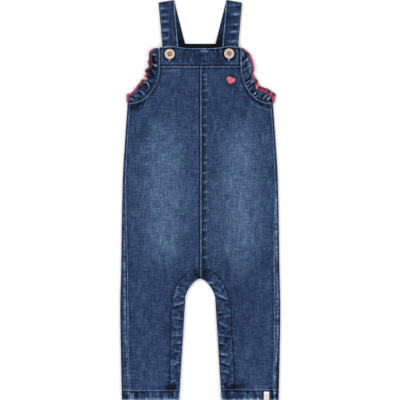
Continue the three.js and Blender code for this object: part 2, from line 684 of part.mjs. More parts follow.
const dungarees = new THREE.Group();
const panels = {};
for (const [word, side] of [["left", -1], ["right", 1]]) {
  const rows = rowsOfCloth(side);
  panels[word] = frontPanel(`front_${word}`, side, rows);
  dungarees.add(panels[word]);
  dungarees.add(backPanel(`back_${word}`, side, rows));
  dungarees.add(legFacing(`leg_facing_${word}`, side, rows));
  dungarees.add(strap(`strap_${word}`, side));
  dungarees.add(frill(`frill_${word}`, side, side < 0 ? FRILL_LEFT : FRILL_RIGHT));
}
dungarees.add(bibBand("bib_band"));
for (const place of BUTTONS) dungarees.add(button(place));
dungarees.add(heart("heart", panels.right));
dungarees.add(hemLabel("hem_label", panels.right));

export default dungarees;
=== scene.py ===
# A baby's denim dungarees laid flat on a pale table, dressed over the solids: washed denim with its puckers,
# topstitching, frills with a coral overlocked edge, wooden buttons, a sewn heart and a blank woven tab.
import math
import bpy
import numpy as np
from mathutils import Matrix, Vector
from mathutils.bvhtree import BVHTree


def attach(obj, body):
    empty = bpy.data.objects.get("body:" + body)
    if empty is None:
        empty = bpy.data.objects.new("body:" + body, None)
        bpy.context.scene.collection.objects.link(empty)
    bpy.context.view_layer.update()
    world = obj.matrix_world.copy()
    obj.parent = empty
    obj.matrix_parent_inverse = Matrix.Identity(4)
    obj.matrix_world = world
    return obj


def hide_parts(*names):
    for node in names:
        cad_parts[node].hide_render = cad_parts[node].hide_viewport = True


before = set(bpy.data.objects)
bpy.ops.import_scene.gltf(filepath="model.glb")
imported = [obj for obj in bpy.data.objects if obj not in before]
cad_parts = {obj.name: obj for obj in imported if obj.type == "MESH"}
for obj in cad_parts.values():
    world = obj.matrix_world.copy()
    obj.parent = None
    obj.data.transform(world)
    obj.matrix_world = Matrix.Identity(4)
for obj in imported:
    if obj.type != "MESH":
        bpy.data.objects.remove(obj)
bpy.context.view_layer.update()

MM = 0.001
LEFT, RIGHT = -1, 1
SIDES = (LEFT, RIGHT)
SIDE_NAMES = {LEFT: "left", RIGHT: "right"}

# Sizes in millimetres. Those that the solids have too are the same there, apart from the heart's, the
# tab's and the reach of the right frill.
DENIM = 1.2
HEM_WALL = 1.8
BAND_WALL = 2.0
STRAP_WALL = 1.8
FRILL_WALL = 1.0
GAP = 0.3
STRAP_FOLD_Y = 300
BACK_TOP_Y = 234.5
BAND_TOP_Y = 227.7
BAND_SEAM_Y = 201.9
UNDERARM_Y = 145.5
FACING_TOP_Y = -102.3
CROTCH_Y = -118
HEM_STITCH_Y = -285
HEM_Y = -300
HEM_LINE_Y = {LEFT: -285.5, RIGHT: -284.4}
HEM_PUCKERS = {LEFT: 8.6, RIGHT: 17}
HEM_CORNER_Y = -281
CROTCH_SHADE_Y = -110
UNDER_BAND_STITCH_Y = 199.5
BIB_HALF = 62.2
BACK_MIDDLE = 0.01
BACK_TOP_HALF = 50
BACK_BIB_HALF = 60.5
FRONT_REST_Z = 3.1
FOLD_RADIUS = 2.1
FOLD_Z = 2 * FOLD_RADIUS
SIDE_Y = [145.5, 85, 35, -35, -100, -160, -230, -300]
SIDE_FOLD = [109.0, 113.2, 116.2, 117.8, 118.7, 120.0, 119.1, 117.6]
SEAM_INSET = {
    LEFT: [2.4, 2.6, 3.2, 5.5, 8.0, 10.0, 10.0, 11.5],
    RIGHT: [2.4, 2.4, 3.0, 6.0, 7.2, 7.5, 7.5, 7.8],
}
CROTCH = {"wide": 20.6, "deep": 28, "rise": 1.42, "round": 0.59, "splay": 0.0615}
FACING_DEEP = 60
FACING = {LEFT: {"wide": 42.4, "splay": 0.02}, RIGHT: {"wide": 42, "splay": 0.057}}
STRAP = {"half": 12, "fold_x": 50.6, "front": 5, "back": 14, "front_end": 207, "back_end": 226}
STRAP_CLIMB = {"from": 247, "to": 236}
STRAP_ROUNDING_AT = 0.9
STRAP_STRAIGHT_Y = 296.4
STRAP_STEPS = {"back": 62, "fold": 17, "front": 80}
# From this point of its path, just past the middle of its fold, a strap is worn and stitched as its front
STRAP_FRONT_POINT = STRAP_STEPS["back"] + STRAP_STEPS["fold"] // 2 + 2
STRAP_STITCH_AT = 0.89
BAND_MIDDLE_Z = 5.2
BAND_STRAP_Z = 7.7
BAND_WAVE = {"x": 45, "wide": 16, "high": 3.2}
FRILL_SEAM_GAP = 0.5
OVERLOCK_AT = 0.93
LOOP_PITCH = 1.5
GATHERS = {"pitch": 8.2, "high": 0.45, "share": 0.3, "spread": 0.3}
FRILL_END = {LEFT: {"past": 3.2, "fan": 0}, RIGHT: {"past": 4.3, "fan": 2.6}}
BUTTON_RADIUS = 7.6
HOLE_AT = 1.6
THREAD_THICK = {"stitch": 0.62, "button": 0.42, "buttonhole": 0.55}
BUTTONS = {"button_left": (-45.8, 218.7), "button_right": (43.3, 219.4)}
BUTTON_TURNS = {"button_left": 19, "button_right": -29}
# The heart has a stitched border round it, so it is a little wider than its solid
HEART = {"x": 45.9, "y": 179.8, "wide": 13.2, "tilt": -15, "plump": 0.6, "squat": 0.89, "thick": 0.9}
LABEL = {"x": 99.3, "wide": 7.9, "top": -287.4, "bottom": -299.6, "thick": 0.6, "bar": -294.4}

# Soft swells of the front: middle, direction, half length, half width and height
SWELLS = [
    (-58, 96, 70, 46, 22, 0.7), (62, 80, 105, 52, 20, 0.6), (-84, 8, 95, 55, 16, 0.5),
    (40, -22, 80, 50, 18, 0.6), (-36, -64, 60, 38, 14, 0.7), (92, -70, 88, 46, 14, 0.6),
    (-82, -176, 92, 44, 16, 0.8), (80, -196, 86, 48, 18, 0.8),
]

# Paler areas of the wash: middle as x and y, and how far each reaches down
FADES = [(-54, 5, 98), (61, 3, 106)]

# Frills: distance down the armhole, how far the free edge stands out there, and how high it waves
FRILLS = {
    LEFT: {
        "at": [0, 3.5, 8, 15, 21.5, 27.5, 33, 38.5, 44.5, 49.5, 54, 62, 72, 82, 90, 98, 108.5],
        "reach": [
            6, 11.2, 13.4, 13.5, 15.2, 13.6, 16.6, 19.3, 16.4, 18.4, 15.8, 19.9, 20.7, 20.4, 18.3, 15.2, 12.3,
        ],
        "lift": [0.8, 2.6, 3.2, -1.8, 3, -2.2, 3.2, -2.2, 3, -2.2, 2.8, 1.6, 0.2, -1.2, 2, -1.2, 1],
    },
    RIGHT: {
        "at": [0, 4, 9, 18, 27, 34, 41, 48, 55, 61, 69, 75, 81, 87, 93, 99, 104, 108.5],
        "reach": [
            1.6, 6.8, 12, 16.3, 18.2, 18.5, 16.1, 16.6, 17.8, 19, 16.9, 17.2, 18.6, 19.6, 20.6, 19.4, 16.4,
            12.4,
        ],
        "lift": [0.6, 1.8, 2.8, 0.8, 3, 0.4, -2.2, 2.8, 0.8, -2.2, 2.8, -2.2, 2.8, -2, 2.8, -1.6, 2.4, 0.8],
    },
}

# Creases that the wash has paled, as x and y of both ends, width and strength. Those of the straps run
# straight across, as x and y of their middle, reach and strength.
FACING_CREASES = [
    (-36.6, -130.5, -32.5, -132, 1, 0.5), (-39.8, -158.7, -24.8, -153.3, 1.3, 0.9),
    (-33.3, -144, -22.5, -145.8, 1.2, 0.5), (-34.9, -177.5, -24.8, -179.1, 1.3, 0.8),
    (-39.8, -190.8, -28.3, -190.8, 1.4, 0.6), (-41.6, -204, -28.3, -203.2, 1.2, 0.6),
    (-34.9, -214, -28.3, -214, 1.4, 0.95), (-38.2, -226.6, -30, -227.4, 1.5, 0.85),
    (-39.8, -248.2, -32.4, -242.4, 1.2, 0.7), (-33, -256, -30, -257, 1.3, 0.7),
    (-41.6, -271.6, -36.6, -269.1, 1.1, 0.6), (-33, -265, -31, -264, 1.2, 0.8),
    (10.1, -124, 18.3, -125, 1.2, 0.9), (18.3, -129.9, 31.7, -134.8, 1.4, 0.5),
    (22.5, -140.7, 40.8, -149.1, 1.5, 0.9), (25.1, -169, 35.1, -168.3, 1.4, 0.8),
    (26.7, -182.4, 41.7, -190.8, 1.3, 0.5), (26.7, -201.6, 50.1, -205.8, 1.3, 0.55),
    (28.4, -214, 35.1, -215.7, 1.3, 0.95), (29.3, -230, 41.7, -232.4, 1.6, 0.8),
    (31.7, -241.6, 45, -247.4, 1.6, 0.8), (31.7, -256.6, 43.4, -258.3, 1.4, 0.7),
    (31.7, -265.8, 36.8, -267.4, 1.3, 0.9), (31.7, -279.1, 35.1, -280.8, 1.2, 0.8),
]
STRAP_CREASES = {
    LEFT: [
        (-56, 287.4, 4.5, 0.6), (-55, 277.4, 4.5, 0.95), (-54.5, 267.6, 4.5, 0.9),
        (-53, 254.9, 4.5, 0.9), (-52, 242.4, 4, 1),
    ],
    RIGHT: [
        (52, 292.8, 8, 0.45), (53.5, 278.4, 5.5, 1), (52, 263.4, 5.5, 0.75), (50.5, 252.2, 5.5, 1),
        (49, 237.6, 6, 0.8),
    ],
}
BAND_CREASES = [
    (-32.2, 224.3, -24.8, 224.3, 1.5, 0.45), (-31, 221.2, -27, 221, 1.3, 0.4),
    (-19.2, 225, -19, 219.5, 1.3, 0.45), (-13.5, 225.6, -13.3, 219.5, 1.1, 0.4),
    (-5.4, 224.6, -5, 221.5, 1.3, 0.4), (0, 223.4, 11.8, 223.2, 2, 0.6),
    (16.6, 224, 16.6, 221, 1.3, 0.55), (22.4, 224, 22.4, 221, 1.3, 0.55),
    (31.1, 225.4, 31.1, 221.2, 1.3, 0.35), (-14, 213, -13.5, 204, 1.4, 0.25),
    (9, 214, 9.6, 204, 1.4, 0.25), (27, 212, 27, 205, 1.6, 0.2), (-30, 212, -29.6, 206, 1.6, 0.2),
]
# Folds of the frills, with painted highlights on their crests and painted shade in their troughs, as in the
# creases' tables
FRILL_FOLDS = {
    LEFT: [
        (-73, 206.2, -70.8, 203.1, 1.03, 0.95), (-70.8, 203.1, -66.1, 201.1, 1.03, 0.95),
        (-71.5, 218.4, -67, 217.2, 1.15, 0.7), (-70, 216.6, -69.1, 204, 2.53, -1.1),
        (-66.7, 214.5, -66.7, 204, 1.38, 0.25), (-71.5, 198.8, -66.3, 193.5, 2.53, -0.55),
        (-76, 195.8, -70, 184.5, 2.99, -0.6), (-70.8, 194.2, -67.6, 189, 1.03, 0.6),
        (-85, 176.7, -80.2, 176.2, 1.03, 1), (-80.2, 176.2, -78, 173.7, 1.03, 1),
        (-78, 173.7, -76.5, 168, 1.03, 1.05), (-75.6, 178.2, -73.8, 177.3, 1.61, 0.5),
        (-75.1, 175.5, -74.1, 168.8, 1.72, -0.8), (-83.5, 172.8, -79.8, 166.5, 2.76, -0.45),
        (-89.5, 162.9, -86.5, 161.2, 1.03, 0.9), (-86.5, 161.2, -85, 157.5, 1.03, 0.9),
        (-89.1, 160.2, -86.5, 157.2, 1.49, -0.9), (-94, 166.5, -88.8, 171, 1.61, -0.5),
        (-100, 159.8, -92.5, 165, 1.84, 0.3), (-98.5, 156, -93.3, 157.5, 1.84, 0.4),
        (-107.5, 154.9, -98.5, 154.2, 1.15, -0.5), (-106.8, 150.9, -101.5, 151.8, 2.07, 0.35),
    ],
    RIGHT: [
        (64.5, 222.8, 64.2, 215.2, 1.49, 0.6), (69.3, 215.1, 65.6, 211.6, 1.72, -1),
        (65.6, 211.6, 63, 206.7, 1.72, -1), (67.7, 209.2, 63.9, 205.2, 1.26, 0.7),
        (69.9, 212.1, 71, 207.8, 1.84, 0.5), (70.4, 204.9, 66.5, 199.5, 1.84, -0.8),
        (72.8, 206.2, 75.2, 190.5, 2.3, 0.35), (69.2, 200, 68.4, 192.8, 1.49, 0.3),
        (66.2, 193.5, 65.3, 181.5, 1.49, 0.2), (70.4, 190.5, 71.6, 182.2, 2.07, 0.15),
        (76.7, 187.2, 72.9, 182.1, 1.26, -1.2), (72.9, 182.1, 68, 177.1, 1.26, -1.2),
        (73.1, 178.8, 68.3, 174.3, 1.03, 0.8), (75.5, 176.1, 81.5, 180.9, 2.53, 0.35),
        (83, 175.5, 74.7, 170.2, 1.26, -1.2), (74.7, 170.2, 69.2, 166.5, 1.26, -1.2),
        (71.6, 171.3, 70.4, 168.6, 1.49, 1), (80, 171.6, 73.4, 165.3, 1.38, 0.5),
        (74, 164.4, 76.5, 159, 1.03, 0.55), (77.6, 164.1, 80.3, 160.8, 2.07, -0.8),
        (83, 161.1, 80, 157.2, 1.03, 0.95), (86.3, 156.3, 82.7, 154.6, 1.03, 0.6),
        (85.2, 161.2, 90.5, 157.8, 1.84, 0.1), (88.4, 154.2, 90.2, 153.4, 1.15, 0.6),
        (95, 156.9, 91.4, 152.7, 1.38, -0.8), (100.4, 157.9, 96.6, 153.8, 1.03, 0.8),
        (96.6, 153.8, 94.2, 152.6, 1.03, 0.7), (102.2, 155.6, 97.8, 151.1, 1.15, -0.9),
        (104.9, 154.5, 100.4, 150.3, 1.38, 0.85), (106.7, 151.2, 101.6, 148.5, 1.26, -0.8),
        (106.1, 146.6, 100.7, 146.7, 1.15, 0.6),
    ],
}
# Where the frills' edging catches the light or turns away: x, y, reach and shade
EDGE_PATCHES = {
    LEFT: [
        (-74.5, 219.8, 2.4, -0.75), (-75.9, 213.3, 2.8, -0.6), (-77.7, 206.1, 3.3, -1),
        (-79.8, 194.7, 5.4, -1.1), (-84.7, 192.6, 3, -0.6), (-82, 188.2, 3, 0.35),
        (-84.7, 184.5, 2, -0.5), (-82.3, 181.8, 2.7, 0.8), (-86.2, 179.7, 2.1, -0.6),
        (-92.5, 173.2, 13.5, -0.12), (-110.5, 152.6, 5.2, 0.2), (-70.8, 225.9, 3.8, 0.25),
    ],
    RIGHT: [
        (64.4, 225.6, 2.4, -0.2), (69.9, 218.1, 2.5, -1.3), (77.9, 204, 10.5, 0.1),
        (79.4, 192.6, 2.4, -0.5), (84.3, 177.9, 3.3, -0.35), (86.2, 168.3, 3, 0.7),
        (89.3, 168.9, 2.4, -1.1), (93.5, 164.1, 3.3, 0.45), (97.1, 167.4, 2.7, -0.9),
        (99.2, 164.4, 2.2, 0.4), (102.6, 163.2, 2.4, -1.2), (106.3, 161.2, 3.3, 0.1),
        (111.3, 159.6, 2.1, -1.3), (108.3, 153.3, 4.5, 0.35),
    ],
}
MIDDLE_BLOBS_Y = [187.5, 181, 174, 164.2, 150.3, 139, 125.3, 112, 98, 83, 64, 55.5, 40.5, 27, 12, 1.2]
MIDDLE_BLOBS_Y += [-12, -30.8, -45, -58, -72, -86]


def smooth(value, start, end):
    share = np.clip((value - start) / (end - start), 0, 1)
    return share * share * (3 - 2 * share)


def lerp(a, b, t):
    return a + (b - a) * t


def curve(places, values, at):
    """A smooth curve through a table's values, read at any place."""
    places, values = np.asarray(places, float), np.asarray(values, float)
    if places[0] > places[-1]:
        places, values = places[::-1], values[::-1]
    at = np.clip(at, places[0], places[-1])
    i = np.clip(np.searchsorted(places, at), 1, len(places) - 1)
    before, after = np.maximum(i - 2, 0), np.minimum(i + 1, len(places) - 1)
    span = places[i] - places[i - 1]
    slope_a = (values[i] - values[before]) / (places[i] - places[before]) * span
    slope_b = (values[after] - values[i - 1]) / (places[after] - places[i - 1]) * span
    t = (at - places[i - 1]) / span
    t2, t3 = t * t, t * t * t
    start = (2 * t3 - 3 * t2 + 1) * values[i - 1] + (t3 - 2 * t2 + t) * slope_a
    return start + (3 * t2 - 2 * t3) * values[i] + (t3 - t2) * slope_b


def noise(seed, x, y=0.0):
    """Smooth random values from -1 to 1, with one value for each unit of x and y."""
    values = np.random.default_rng(seed).uniform(-1, 1, (256, 256))
    x, y = np.broadcast_arrays(np.asarray(x, float), np.asarray(y, float))
    xi, yi = np.floor(x).astype(int), np.floor(y).astype(int)
    fx, fy = smooth(x - xi, 0, 1), smooth(y - yi, 0, 1)
    corner = lambda a, b: values[(xi + a) % 256, (yi + b) % 256]
    return lerp(lerp(corner(0, 0), corner(1, 0), fx), lerp(corner(0, 1), corner(1, 1), fx), fy)


def ripples(seed, run, pitch):
    """Uneven waves along a run, between -1 and 1."""
    drift = 0.7 * noise(seed, run / (1.8 * pitch))
    return np.sin(2 * np.pi * (run / pitch + drift)) * (0.65 + 0.35 * noise(seed + 1, run / (2.5 * pitch)))


def ridge(distance, width):
    return np.exp(-((distance / width) ** 2))


def lines_beside(distance, *lines):
    """Soft lines at a distance from an edge, each given as its place, its width and its strength."""
    return sum(strength * ridge(distance - place, width) for place, width, strength in lines)


def run_along(points):
    """Distance along a row of points, from its start."""
    return np.concatenate([[0], np.cumsum(np.linalg.norm(np.diff(points, axis=0), axis=1))])


def points_from(*coordinates):
    return np.stack(np.broadcast_arrays(*coordinates), -1)


def unit(vectors):
    return vectors / np.linalg.norm(vectors, axis=-1, keepdims=True)


def creases(x, y, table):
    """Crests and troughs of a table's creases, each crest with a trough along one side of it, where the
    colours paint shade. One with a strength below 0 is a trough alone.
    """
    crest, trough = np.zeros_like(x), np.zeros_like(x)
    for x1, y1, x2, y2, width, strength in table:
        length = math.hypot(x2 - x1, y2 - y1)
        ux, uy = (x2 - x1) / length, (y2 - y1) / length
        along = (x - x1) * ux + (y - y1) * uy
        across = (y - y1) * ux - (x - x1) * uy
        end = min(1.5, 0.3 * length)
        ends = smooth(along, -end, end) * smooth(length + end - along, 0, 2 * end)
        if strength < 0:
            trough = np.maximum(trough, -strength * ends * ridge(across, width))
            continue
        crest = np.maximum(crest, strength * ends * ridge(across, width))
        below = across * (1 if ux > 0 else -1) + 2.1 * width
        trough = np.maximum(trough, 0.8 * strength * ends * ridge(below, 1.5 * width))
    return crest, trough


def fold_at(y):
    return curve(SIDE_Y, SIDE_FOLD, y)


def seam_inset(y, side):
    return curve(SIDE_Y, SEAM_INSET[side], y)


def inside_leg(y):
    """Half the space between the legs, at a height below the crotch."""
    down = CROTCH_Y - y
    arch = 1 - max(0, 1 - down / CROTCH["deep"]) ** CROTCH["rise"]
    return CROTCH["wide"] * max(arch, 0) ** CROTCH["round"] + CROTCH["splay"] * down


def facing_seam(y, side):
    """Distance from the middle to the facing's seam."""
    down = FACING_TOP_Y - y
    left = max(0, 1 - down / FACING_DEEP)
    return FACING[side]["wide"] * math.sqrt(1 - left * left) + FACING[side]["splay"] * down


def armhole(turn, top, underarm):
    """Quarter ellipse from the bib's side, at turn 0, to the underarm, at turn 1."""
    angle = np.radians(90 * np.asarray(turn, float))
    x = underarm[0] - (underarm[0] - top[0]) * np.cos(angle)
    y = top[1] - (top[1] - underarm[1]) * np.sin(angle)
    return points_from(x, y)


def front_underarm(side):
    return np.array([float(fold_at(UNDERARM_Y) - seam_inset(UNDERARM_Y, side)) - GAP / 2, UNDERARM_Y])


FRONT_ARM_TOP = np.array([BIB_HALF, BAND_SEAM_Y - GAP / 2])


def round_to_seam(y, side):
    """Length of cloth from the back's middle, round the side fold, to the side seam on the front."""
    return float(fold_at(y) + (math.pi - 2) * FOLD_RADIUS + seam_inset(y, side)) - GAP / 2


def cloth_rows(side, steps):
    """Rows of cloth from the bib to the hem: where each leaves the middle and where it meets the side."""
    rows = []
    bib_end = UNDERARM_Y - 6
    side_at_crotch = CROTCH_Y + 12
    side_under_facing = CROTCH_Y - 48
    edge_at_arch_end = CROTCH_Y - 32
    leg_end = HEM_STITCH_Y + 1.5
    middle = GAP / 2
    beside = lambda y: (float(fold_at(y) - seam_inset(y, side)) - GAP / 2, y)
    for t in np.linspace(0, 1, steps["bib"], endpoint=False):
        y = lerp(BAND_SEAM_Y - GAP / 2, bib_end, t)
        underarm = (round_to_seam(UNDERARM_Y, side), UNDERARM_Y)
        rows.append({
            "front_in": (middle, y),
            "back_in": (BACK_MIDDLE, y),
            "front_out": armhole(t, FRONT_ARM_TOP, front_underarm(side)),
            "back_out": armhole(t, (BACK_BIB_HALF, BAND_SEAM_Y), underarm),
        })
    for t in np.linspace(0, 1, steps["torso"], endpoint=False):
        y = lerp(UNDERARM_Y, side_at_crotch, t)
        rows.append({
            "front_in": (middle, lerp(bib_end, FACING_TOP_Y + GAP / 2, t)),
            "back_in": (BACK_MIDDLE, lerp(bib_end, CROTCH_Y, t)),
            "front_out": beside(y),
            "back_out": (round_to_seam(y, side), y),
        })

    def facing_row(facing_y, edge_y, y):
        seam = np.array([facing_seam(facing_y, side), facing_y])
        edge = np.array([inside_leg(edge_y), edge_y])
        away = (seam - edge) / np.linalg.norm(seam - edge) * GAP / 2
        front_in, facing_out = seam + away, seam - away
        rows.append({
            "front_in": (max(middle, front_in[0]), front_in[1]),
            "facing_out": (max(middle, facing_out[0]), facing_out[1]),
            "facing_in": (max(middle, edge[0]), edge[1]),
            "back_in": (edge[0] + GAP if edge[0] > middle else BACK_MIDDLE, edge[1]),
            "front_out": beside(y),
            "back_out": (round_to_seam(y, side), y),
        })

    for t in np.linspace(0, 1, steps["crotch"], endpoint=False):
        down = FACING_DEEP * (1 - math.cos(math.radians(90 * t)))
        edge_y = lerp(CROTCH_Y, edge_at_arch_end, t**1.7)
        facing_row(FACING_TOP_Y - down, edge_y, lerp(side_at_crotch, side_under_facing, t))
    for t in np.linspace(0, 1, steps["leg"], endpoint=False):
        facing_y = lerp(FACING_TOP_Y - FACING_DEEP, leg_end, t)
        facing_row(facing_y, lerp(edge_at_arch_end, leg_end, t), lerp(side_under_facing, leg_end, t))
    for y in np.linspace(leg_end, HEM_Y, steps["hem"]):
        facing_row(y, y, y)
    return rows


def column(rows, name):
    return np.array([row[name] for row in rows], float)


def band_height(x):
    across = np.abs(x)
    rise = smooth(across, 14, 29)
    fall = 1 - 0.5 * smooth(across, 58, BIB_HALF)
    return BAND_MIDDLE_Z + (BAND_STRAP_Z - BAND_MIDDLE_Z) * rise * fall


def band_top(x):
    return BAND_TOP_Y + BAND_WAVE["high"] * ridge(np.abs(x) - BAND_WAVE["x"], BAND_WAVE["wide"])


def arm_distance(x, y, side):
    out_x, out_y = front_underarm(side)
    reach = np.hypot((out_x - x) / (out_x - BIB_HALF), (FRONT_ARM_TOP[1] - y) / (FRONT_ARM_TOP[1] - out_y))
    return np.maximum(0, (reach - 1) * 50)


def front_height(x, y, side):
    """Height of the front's upper face, at a distance from the middle."""
    z = np.full(np.shape(x), float(FRONT_REST_Z))
    for mid_x, mid_y, degrees, long, wide, high in SWELLS:
        if mid_x * side < 0:
            continue
        angle = -math.radians(degrees)
        dx, dy = x * side - mid_x, y - mid_y
        u = dx * math.cos(angle) - dy * math.sin(angle)
        v = dx * math.sin(angle) + dy * math.cos(angle)
        z += high * np.exp(-((u / long) ** 2) - (v / wide) ** 2)
    beside = np.maximum(0, fold_at(y) - seam_inset(y, side) - x)
    arm = arm_distance(x, y, side)
    edge = np.where(y > UNDERARM_Y, arm, np.minimum(arm, beside))
    z += (FOLD_Z - FRONT_REST_Z) * np.exp(-edge / 14)
    z = lerp(z, np.maximum(z, band_height(x) - 0.4), smooth(y, 148, BAND_SEAM_Y))
    return lerp(z, FOLD_Z, smooth(y, -262, HEM_STITCH_Y + 1.5))


def wall_at(y):
    return lerp(HEM_WALL, DENIM, smooth(y, HEM_STITCH_Y - 1, HEM_STITCH_Y + 1))


def edge_stops(count):
    """Distances across rows of cloth: close together beside both edges, and a number of them in between."""
    fine = np.array([0, 0.2, 0.5, 0.9, 1.4, 2])

    def places(length):
        start = np.broadcast_to(fine, (len(length), len(fine)))
        middle = lerp(fine[-1] + 1, length - fine[-1] - 1, np.linspace(0, 1, count))
        return np.concatenate([start, middle, length - fine[::-1]], 1)

    return places


def across_rows(rows, near, far, places):
    """Where rows of cloth start, the distances of points from both edges, and the points themselves."""
    start, end = column(rows, near), column(rows, far)
    length = np.hypot(*(end - start).T)[:, None]
    across = places(length)
    flat = lerp(start[:, None], end[:, None], (across / length)[..., None])
    return start, across, length - across, flat[..., 0], flat[..., 1]


def rounded(distance, depth=0.45, reach=0.55):
    """How far an edge turns down, at a distance from it."""
    return depth * (1 - np.sqrt(1 - np.clip(1 - distance / reach, 0, 1) ** 2))


def add_mesh(name, points, faces, material, slot, smooth_count=None, replaces=None, **fields):
    """A piece made from points in millimetres, with its own values stored at the points."""
    mesh = bpy.data.meshes.new(name)
    mesh.from_pydata((points * MM).tolist(), [], faces.tolist() if isinstance(faces, np.ndarray) else faces)
    is_smooth = np.arange(len(mesh.polygons)) < (smooth_count or len(mesh.polygons))
    mesh.polygons.foreach_set("use_smooth", is_smooth)
    for field, values in fields.items():
        kind, key = ("FLOAT_VECTOR", "vector") if np.ndim(values) == 2 else ("FLOAT", "value")
        mesh.attributes.new(field, kind, "POINT").data.foreach_set(key, np.ravel(values))
    mesh.materials.append(material)
    mesh.validate()
    mesh.update()
    piece = bpy.data.objects.new(name, mesh)
    bpy.context.scene.collection.objects.link(piece)
    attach(piece, "root")
    if replaces:
        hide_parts(replaces)
    return piece


def grid_faces(rows, columns, start=0):
    r, c = np.mgrid[0 : rows - 1, 0 : columns - 1]
    a = start + r * columns + c
    return points_from(a, a + 1, a + columns + 1, a + columns).reshape(-1, 4)


def rim(rows, columns):
    """The points round a grid's border, in order."""
    grid = np.arange(rows * columns).reshape(rows, columns)
    return np.concatenate([grid[0, :-1], grid[:-1, -1], grid[-1, :0:-1], grid[:0:-1, 0]])


def tube_faces(rings, spokes, start=0, turned=False):
    """Faces of a tube from ring to ring, and turned the other way round if asked."""
    ring, spoke = np.mgrid[0 : rings - 1, 0:spokes]
    a, b = start + ring * spokes + spoke, start + ring * spokes + (spoke + 1) % spokes
    order = [a, a + spokes, b + spokes, b] if turned else [a, b, b + spokes, a + spokes]
    return np.stack(order, -1).reshape(-1, 4).tolist()


def lidded_faces(rings, spokes, start=0):
    """Faces of a tube with a flat lid on both ends."""
    last = start + (rings - 1) * spokes
    lids = [[start + k for k in reversed(range(spokes))], [last + k for k in range(spokes)]]
    return tube_faces(rings, spokes, start) + lids


def domed_faces(rings, spokes, turned=False):
    """Faces of rings that are closed over the first and under the last by fans round two further points."""
    faces = tube_faces(rings, spokes, turned=turned)
    top, last = rings * spokes, (rings - 1) * spokes
    for k in range(spokes):
        one, other = (k, (k + 1) % spokes) if turned else ((k + 1) % spokes, k)
        faces += [[top, one, other], [top + 1, last + other, last + one]]
    return faces


def cloth_wall(node, outer, inner, material, wear, cloth, inner_wear=None, slot="denim", ending="cloth"):
    """A closed piece of cloth between its outer and inner face, in place of a node."""
    rows, columns = outer.shape[:2]
    count = rows * columns
    border = rim(rows, columns)
    after = np.roll(border, -1)
    sides = points_from(border, border + count, after + count, after)
    faces = np.concatenate([grid_faces(rows, columns), grid_faces(rows, columns, count)[:, ::-1], sides])
    points = np.concatenate([outer.reshape(-1, 3), inner.reshape(-1, 3)])
    a, b, c, d = (points[faces[:, k]] for k in range(4))
    if np.einsum("ij,ij->", a, np.cross(b, c) + np.cross(c, d)) < 0:
        faces = faces[:, ::-1]
    # The inner face is most often given its own dark value, as painted shade
    inner_wear = wear if inner_wear is None else inner_wear
    wear = np.concatenate([np.ravel(wear), np.ravel(np.broadcast_to(inner_wear, (rows, columns)))])
    flat = np.pad(np.concatenate([cloth.reshape(-1, 2)] * 2), ((0, 0), (0, 1)))
    smooth_count = 2 * (rows - 1) * (columns - 1)
    name = f"{node}_{ending}"
    return add_mesh(name, points, faces, material, slot, smooth_count, node, wear=wear, cloth=flat)


class Nodes:
    """Builds one material's nodes with few words."""

    def __init__(self, name):
        self.material = bpy.data.materials.new(name)
        self.material.use_nodes = True
        self.tree = self.material.node_tree
        self.shader = self.tree.nodes["Principled BSDF"]

    def feed(self, node, inputs):
        """Links a node's inputs to other nodes' outputs, or sets them to plain values."""
        for key, value in inputs.items():
            if isinstance(value, bpy.types.NodeSocket):
                self.tree.links.new(value, node.inputs[key])
            else:
                node.inputs[key].default_value = value

    def node(self, kind, inputs=None, **settings):
        node = self.tree.nodes.new(kind)
        for key, value in settings.items():
            setattr(node, key, value)
        self.feed(node, inputs or {})
        return node

    def field(self, name, output):
        return self.node("ShaderNodeAttribute", attribute_name=name).outputs[output]

    def place(self):
        return self.node("ShaderNodeTexCoord").outputs["Object"]

    def math(self, operation, a, b=0.0, c=0.0):
        return self.node("ShaderNodeMath", {0: a, 1: b, 2: c}, operation=operation).outputs[0]

    def scaled(self, vector, factors):
        return self.node("ShaderNodeVectorMath", {0: vector, 1: factors}, operation="MULTIPLY").outputs[0]

    def noise(self, vector, scale=1.0, detail=2.0, **more):
        inputs = {"Vector": vector, "Scale": scale, "Detail": detail, **more}
        return self.node("ShaderNodeTexNoise", inputs).outputs[0]

    def grain(self, vector, size, detail=2.0):
        """Noise of a size in millimetres for each direction, centred on zero."""
        fac = self.noise(self.scaled(vector, tuple(1 / s for s in size)), detail=detail, Roughness=0.6)
        return self.math("SUBTRACT", fac, 0.5)

    def ramp(self, factor, stops):
        node = self.node("ShaderNodeValToRGB", {0: factor})
        elements = node.color_ramp.elements
        while len(elements) < len(stops):
            elements.new(0.5)
        for element, (place, colour) in zip(elements, stops):
            element.position = place
            element.color = (*linear(colour), 1)
        return node.outputs[0]

    def bump(self, height, distance, strength):
        inputs = {"Height": height, "Distance": distance, "Strength": strength}
        self.feed(self.shader, {"Normal": self.node("ShaderNodeBump", inputs).outputs[0]})

    def finish(self, colour, roughness, **sockets):
        self.feed(self.shader, {"Base Color": colour, "Roughness": roughness})
        self.feed(self.shader, {key.replace("_", " "): value for key, value in sockets.items()})
        return self.material


def linear(colour):
    """A colour from 0 to 255 as the renderer takes it."""
    share = np.array(colour, float) / 255
    return tuple(np.where(share <= 0.04045, share / 12.92, ((share + 0.055) / 1.055) ** 2.4))


